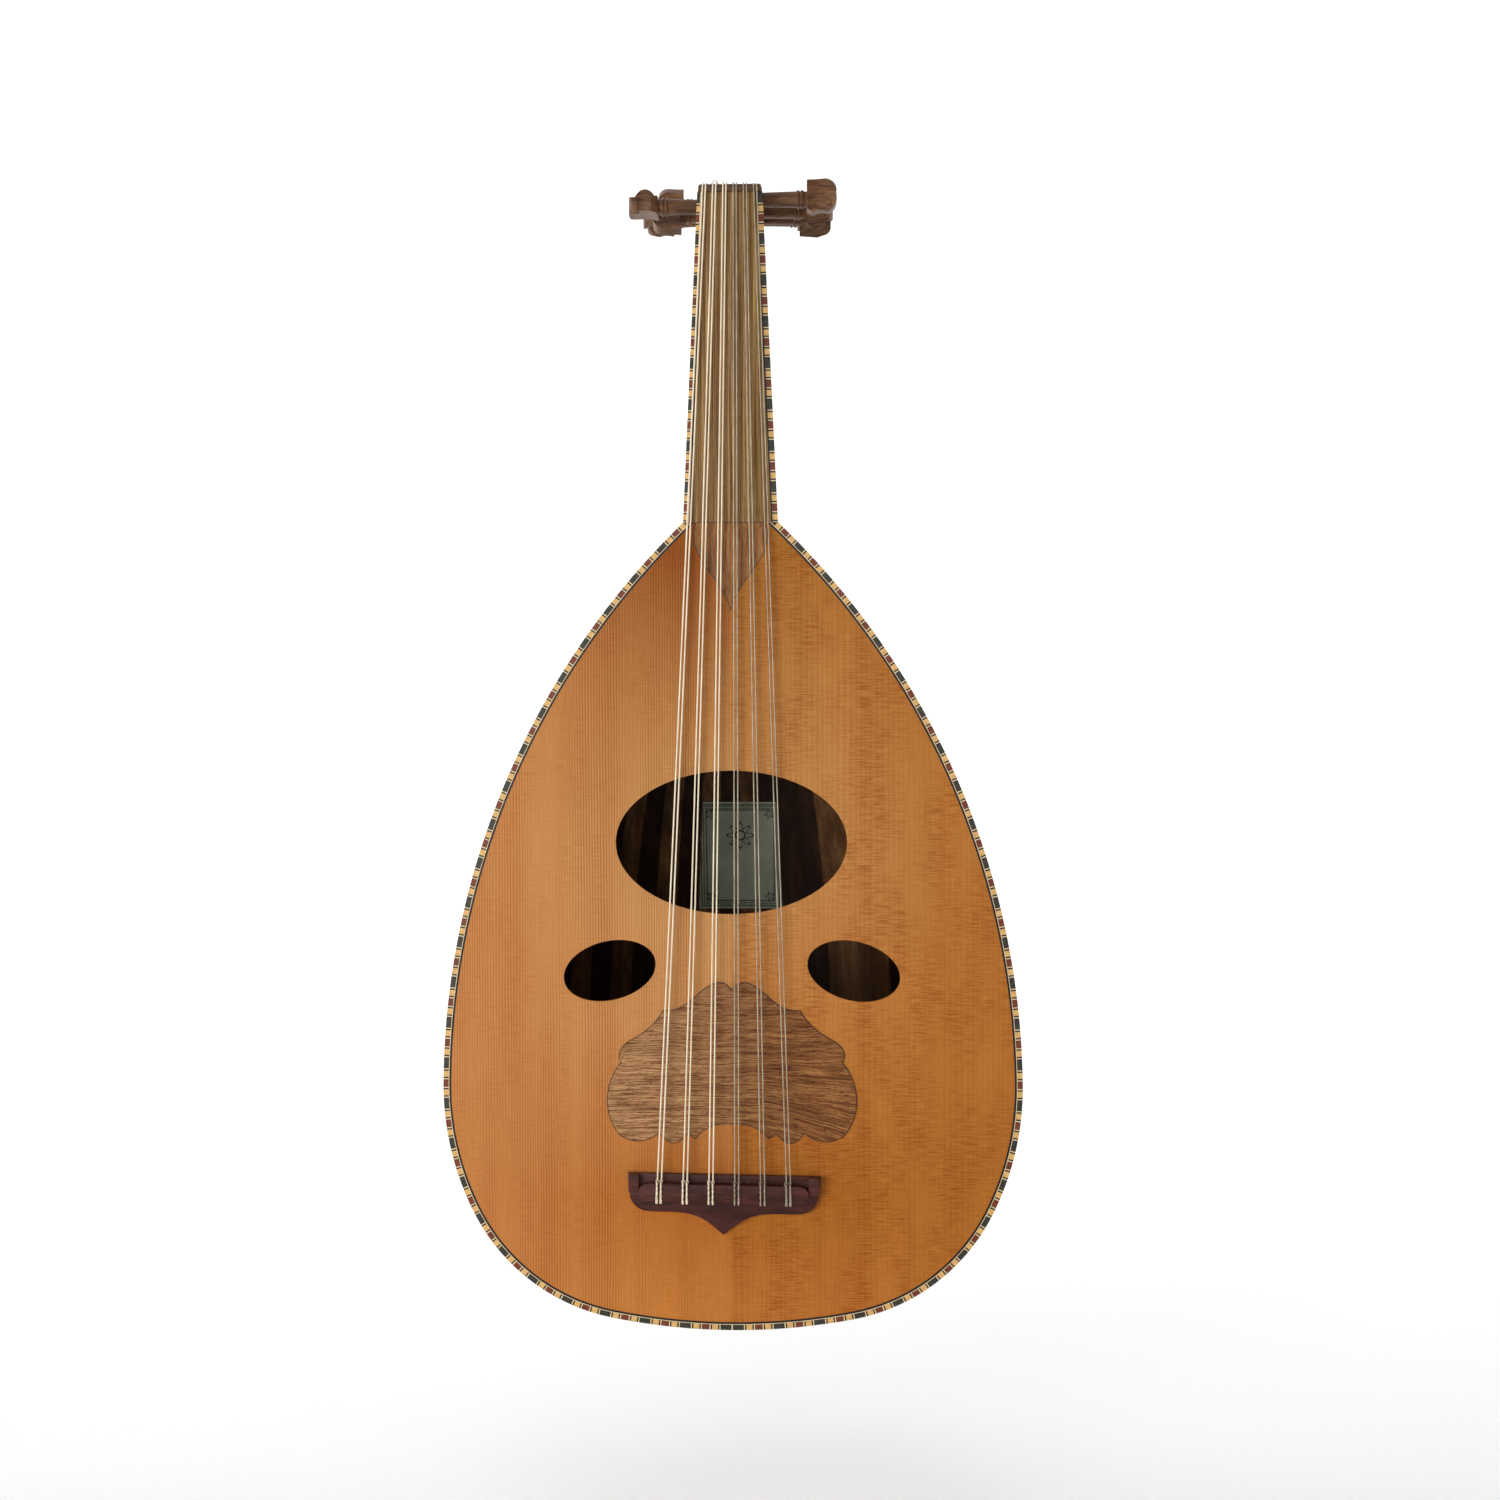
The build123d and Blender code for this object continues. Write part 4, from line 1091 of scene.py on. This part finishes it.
def string_tie(index):
    """The strands wound round a string's loop over the bar, its small front loop and its knot."""
    wound = index < STRING_COUNT // 2
    core = TIE_SHARE * string_diameter(index) / 2
    strand = WOUND_STRAND if wound else CLEAR_STRAND
    x = string_x(index, bar_front(BRIDGE_X))
    front = bar_front(x) + TIE_GAP
    rear = bar_front(x) - BAR_WIDTH - TIE_GAP
    top = -BAR_HEIGHT - TIE_GAP
    bend = TIE_CORNER
    path = [
        Vector((x, STRING_LEVEL_BRIDGE, front)),
        Vector((x, top + 3 * bend, front)),
        Vector((x, top + bend, front - bend)),
        Vector((x, top, front - 4 * bend)),
        Vector((x, top, (front + rear) / 2)),
        Vector((x, top, rear + 4 * bend)),
        Vector((x, top + bend, rear + bend)),
        Vector((x, top + 3 * bend, rear)),
        Vector((x, STRING_LEVEL_BRIDGE, rear)),
    ]
    lines = [(twisted(path, core, TIE_TURNS, phase + index, TIE_STEPS), strand) for phase in (0.0, pi)]
    ring = []
    for i in range(RING_STEPS + 1):
        angle = tau * i / RING_STEPS
        ring_x = x + RING_HALF_WIDTH * cos(angle)
        ring_z = front + RING_HALF_HEIGHT * sin(angle)
        ring.append(Vector((ring_x, STRING_LEVEL_BRIDGE - RING_RISE, ring_z)))
    lines.append((ring, strand))
    knot = [Vector((x, top, rear + place)) for place in KNOT_PLACES]
    lines.append((twisted(knot, core + 0.15 * MM, 2.5, 0.4 * index, 30), 1.3 * strand))
    made = tubes_object(f"string_tie_{index + 1:02d}", lines, [SLOT_MATERIALS[string_material(index)]])
    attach(made, BODY)


for string_index in range(STRING_COUNT):
    string_tie(string_index)

LOOSE_RADIUS = 0.3 * MM  # of the loose ends of string
TAIL_STEPS = 24
TAIL_WAVE = 0.09 * MM
TAIL_INSET = 4.0 * MM  # from the tie bar's right end
tail_start = string_x(1, bar_front(BRIDGE_X))
tail_end = BRIDGE_X + BAR_LENGTH / 2 - TAIL_INSET
tail_points = []
for i in range(TAIL_STEPS + 1):
    x = tail_start + (tail_end - tail_start) * i / TAIL_STEPS
    wave = TAIL_WAVE * sin(1.7 * i)
    tail_z = bar_front(x) - BAR_WIDTH - 0.25 * MM + wave
    tail_points.append(Vector((x, -APRON_HEIGHT - 0.35 * MM, tail_z)))
string_tails = tubes_object("string_tails", [(tail_points, LOOSE_RADIUS)], [SLOT_MATERIALS["wound_gut"]])
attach(string_tails, BODY)

# ---------------------------------------------------------------- strings wound on the pegs

COIL_GAP = 0.35 * MM  # between a peg's surface and the end of its string
COIL_TURNS = 3.5  # at most
COIL_PITCH = 1.05  # in string diameters, as are the next two
COIL_START = 1.15  # from the string's end to the first turn
COIL_ROOM = 0.85  # from the last turn's axis to the pegbox's wall
COIL_STEPS = 20  # in one turn
# The two pegs nearest the nut have fewer turns, wound towards the centre line
FIRST_COILS = {"peg_right_1": 1.6, "peg_left_1": 2.5}
PEG_AXES = {joint["child"]: Vector(joint["pos_m"]) for joint in frame["record"]["behaviour"]["joints"]}


def wall_tree(node):
    """A pegbox side's faces, to measure distances to."""
    mesh = NODES[node].data
    return BVHTree.FromPolygons([v.co for v in mesh.vertices], [f.vertices for f in mesh.polygons])


WALLS = {-1: wall_tree("pegbox_left_side"), 1: wall_tree("pegbox_right_side")}


def string_end(index):
    """The middle of a string's end at its peg."""
    corners = [v.co for v in NODES[f"string_{index + 1:02d}"].data.vertices]
    tip = max(corners, key=lambda co: co.y)
    cap = [co for co in corners if (co - tip).length < 1.05 * string_diameter(index)]
    return sum(cap, Vector()) / len(cap)


def peg_coil(index):
    """The turns of one string round its peg, beside the place where the string reaches it."""
    left = index < STRING_COUNT // 2
    side = -1 if left else 1
    peg = f"peg_{'left' if left else 'right'}_{min(index, STRING_COUNT - 1 - index) + 1}"
    inwards = peg in FIRST_COILS
    diameter = string_diameter(index)
    axis = PEG_AXES[peg]
    end = string_end(index)
    radius = hypot(end.y - axis.y, end.z - axis.z) - COIL_GAP
    if inwards:
        turns = FIRST_COILS[peg]
    else:
        start = Vector((end.x, axis.y, axis.z + radius))
        room = WALLS[side].ray_cast(start, Vector((side, 0, 0)))[3] / diameter
        turns = min(COIL_TURNS, (room - COIL_START - COIL_ROOM) / COIL_PITCH)
    points = []
    for i in range(int(turns * COIL_STEPS) + 1):
        angle = tau * i / COIL_STEPS
        shift = (COIL_START + COIL_PITCH * angle / tau) * diameter
        x = end.x + (-side if inwards else side) * shift
        points.append(Vector((x, axis.y + radius * sin(angle), axis.z + radius * cos(angle))))
    made = tubes_object(f"{peg}_coil", [(points, diameter / 2)], [SLOT_MATERIALS[string_material(index)]])
    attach(made, peg)


for string_index in range(STRING_COUNT):
    peg_coil(string_index)

CURL_STEPS = 14
curl_points = []
for i in range(CURL_STEPS + 1):
    share = i / CURL_STEPS
    curl_x = (-13.4 + 7.8 * share) * MM
    curl_y = (9.5 + 1.2 * sin(tau * share)) * MM
    curl_points.append(Vector((curl_x, curl_y, (3.8 + 6.0 * sin(pi * share)) * MM)))
string_curl = tubes_object("string_curl", [(curl_points, LOOSE_RADIUS)], [SLOT_MATERIALS["clear_nylon"]])
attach(string_curl, BODY)

# ---------------------------------------------------------------- softened wooden parts


def softened(node, name, voxel, keep, smoothing=3):
    """A copy of a CAD node with its edges rounded over, standing for the node."""
    source = NODES[node]
    data = source.data.copy()
    data.name = name
    made = bpy.data.objects.new(name, data)
    bpy.context.scene.collection.objects.link(made)
    remesh = made.modifiers.new("even", "REMESH")
    remesh.mode = "VOXEL"
    remesh.voxel_size = voxel
    smooth = made.modifiers.new("soften", "SMOOTH")
    smooth.factor = 0.5
    smooth.iterations = smoothing
    thin = made.modifiers.new("thin", "DECIMATE")
    thin.ratio = keep
    baked(made)
    made.data.shade_smooth()
    made.data.set_sharp_from_angle(angle=radians(40))
    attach(made, source["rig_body"])
    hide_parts(node)
    return made


PEGBOX_VOXEL, PEGBOX_KEEP = 0.55 * MM, 0.22
PEG_VOXEL, PEG_KEEP = 0.25 * MM, 0.14

for node in ("pegbox_left_side", "pegbox_right_side", "pegbox_floor", "pegbox_end"):
    softened(node, f"{node}_wood", PEGBOX_VOXEL, PEGBOX_KEEP)

PEG_NODES = sorted(node for node in NODES if node.startswith("peg_"))
for node in PEG_NODES:
    softened(node, f"{node}_wood", PEG_VOXEL, PEG_KEEP, 1)

# ---------------------------------------------------------------- camera, floor and light

LOW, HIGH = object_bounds()
camera_data = bpy.data.cameras.new("camera")
camera_data.lens = 42.5
camera_data.sensor_width = 36.0
camera = bpy.data.objects.new("camera", camera_data)
bpy.context.scene.collection.objects.link(camera)
CAMERA_AT = Vector((0.0434, -1.05, -0.3164))
CAMERA_TO = Vector((0.0113, 0.0, -0.3300))
CAMERA_ROLL = radians(-0.12)
camera.location = CAMERA_AT
aim = (CAMERA_TO - CAMERA_AT).to_track_quat("-Z", "Y")
camera.rotation_euler = (aim.to_matrix() @ Matrix.Rotation(CAMERA_ROLL, 3, "Z")).to_euler()
bpy.context.scene.camera = camera

FLOOR_DROP = 0.12
SWEEP_RADIUS = 0.9
SWEEP_STEPS = 16
WALL_Y = 2.4
floor_z = LOW.z - FLOOR_DROP
profile = [(-3.0, floor_z), (WALL_Y - SWEEP_RADIUS, floor_z)]
for i in range(1, SWEEP_STEPS + 1):
    angle = pi / 2 * i / SWEEP_STEPS
    profile.append((WALL_Y - SWEEP_RADIUS * (1 - sin(angle)), floor_z + SWEEP_RADIUS * (1 - cos(angle))))
profile.append((WALL_Y, 3.5))
backdrop_mesh = bmesh.new()
rows = [[backdrop_mesh.verts.new((x, y, z)) for x in (-4.0, 4.0)] for y, z in profile]
for row, following in zip(rows, rows[1:]):
    backdrop_mesh.faces.new((row[0], row[1], following[1], following[0]))
backdrop = mesh_object("backdrop", backdrop_mesh, [floor_material("studio_paper")], radians(60))

MIDDLE = (LOW + HIGH) / 2


def soft_light(name, place, size, power):
    data = bpy.data.lights.new(name, "AREA")
    data.shape = "RECTANGLE"
    data.size, data.size_y = size
    data.energy = power
    light = bpy.data.objects.new(name, data)
    bpy.context.scene.collection.objects.link(light)
    light.location = MIDDLE + Vector(place)
    light.rotation_euler = (-Vector(place)).to_track_quat("-Z", "Y").to_euler()
    return light


soft_light("key_light", (-1.5, -1.9, 0.1), (1.1, 1.3), 35.0)
soft_light("front_light", (-0.3, -2.1, 0.2), (1.6, 1.2), 11.0)
soft_light("top_light", (-0.3, -0.2, 2.0), (2.0, 1.4), 12.0)
soft_light("back_light", (0.4, 1.7, 1.4), (2.0, 1.2), 14.0)
soft_light("low_light", (-0.2, -1.2, -0.9), (1.8, 0.6), 1.0)

for side in (-1, 1):
    wash = soft_light("wall_light", (side * 2.6, 0.9, 0.6), (1.4, 2.4), 78.0)
    wash.rotation_euler = Vector((-side * 1.2, 1.5, 0.1)).to_track_quat("-Z", "Y").to_euler()

world = bpy.data.worlds.new("studio")
world.use_nodes = True
world.node_tree.nodes["Background"].inputs["Color"].default_value = (1.0, 1.0, 1.0, 1.0)
world.node_tree.nodes["Background"].inputs["Strength"].default_value = 0.16
bpy.context.scene.world = world
bpy.context.scene.view_settings.view_transform = "Standard"
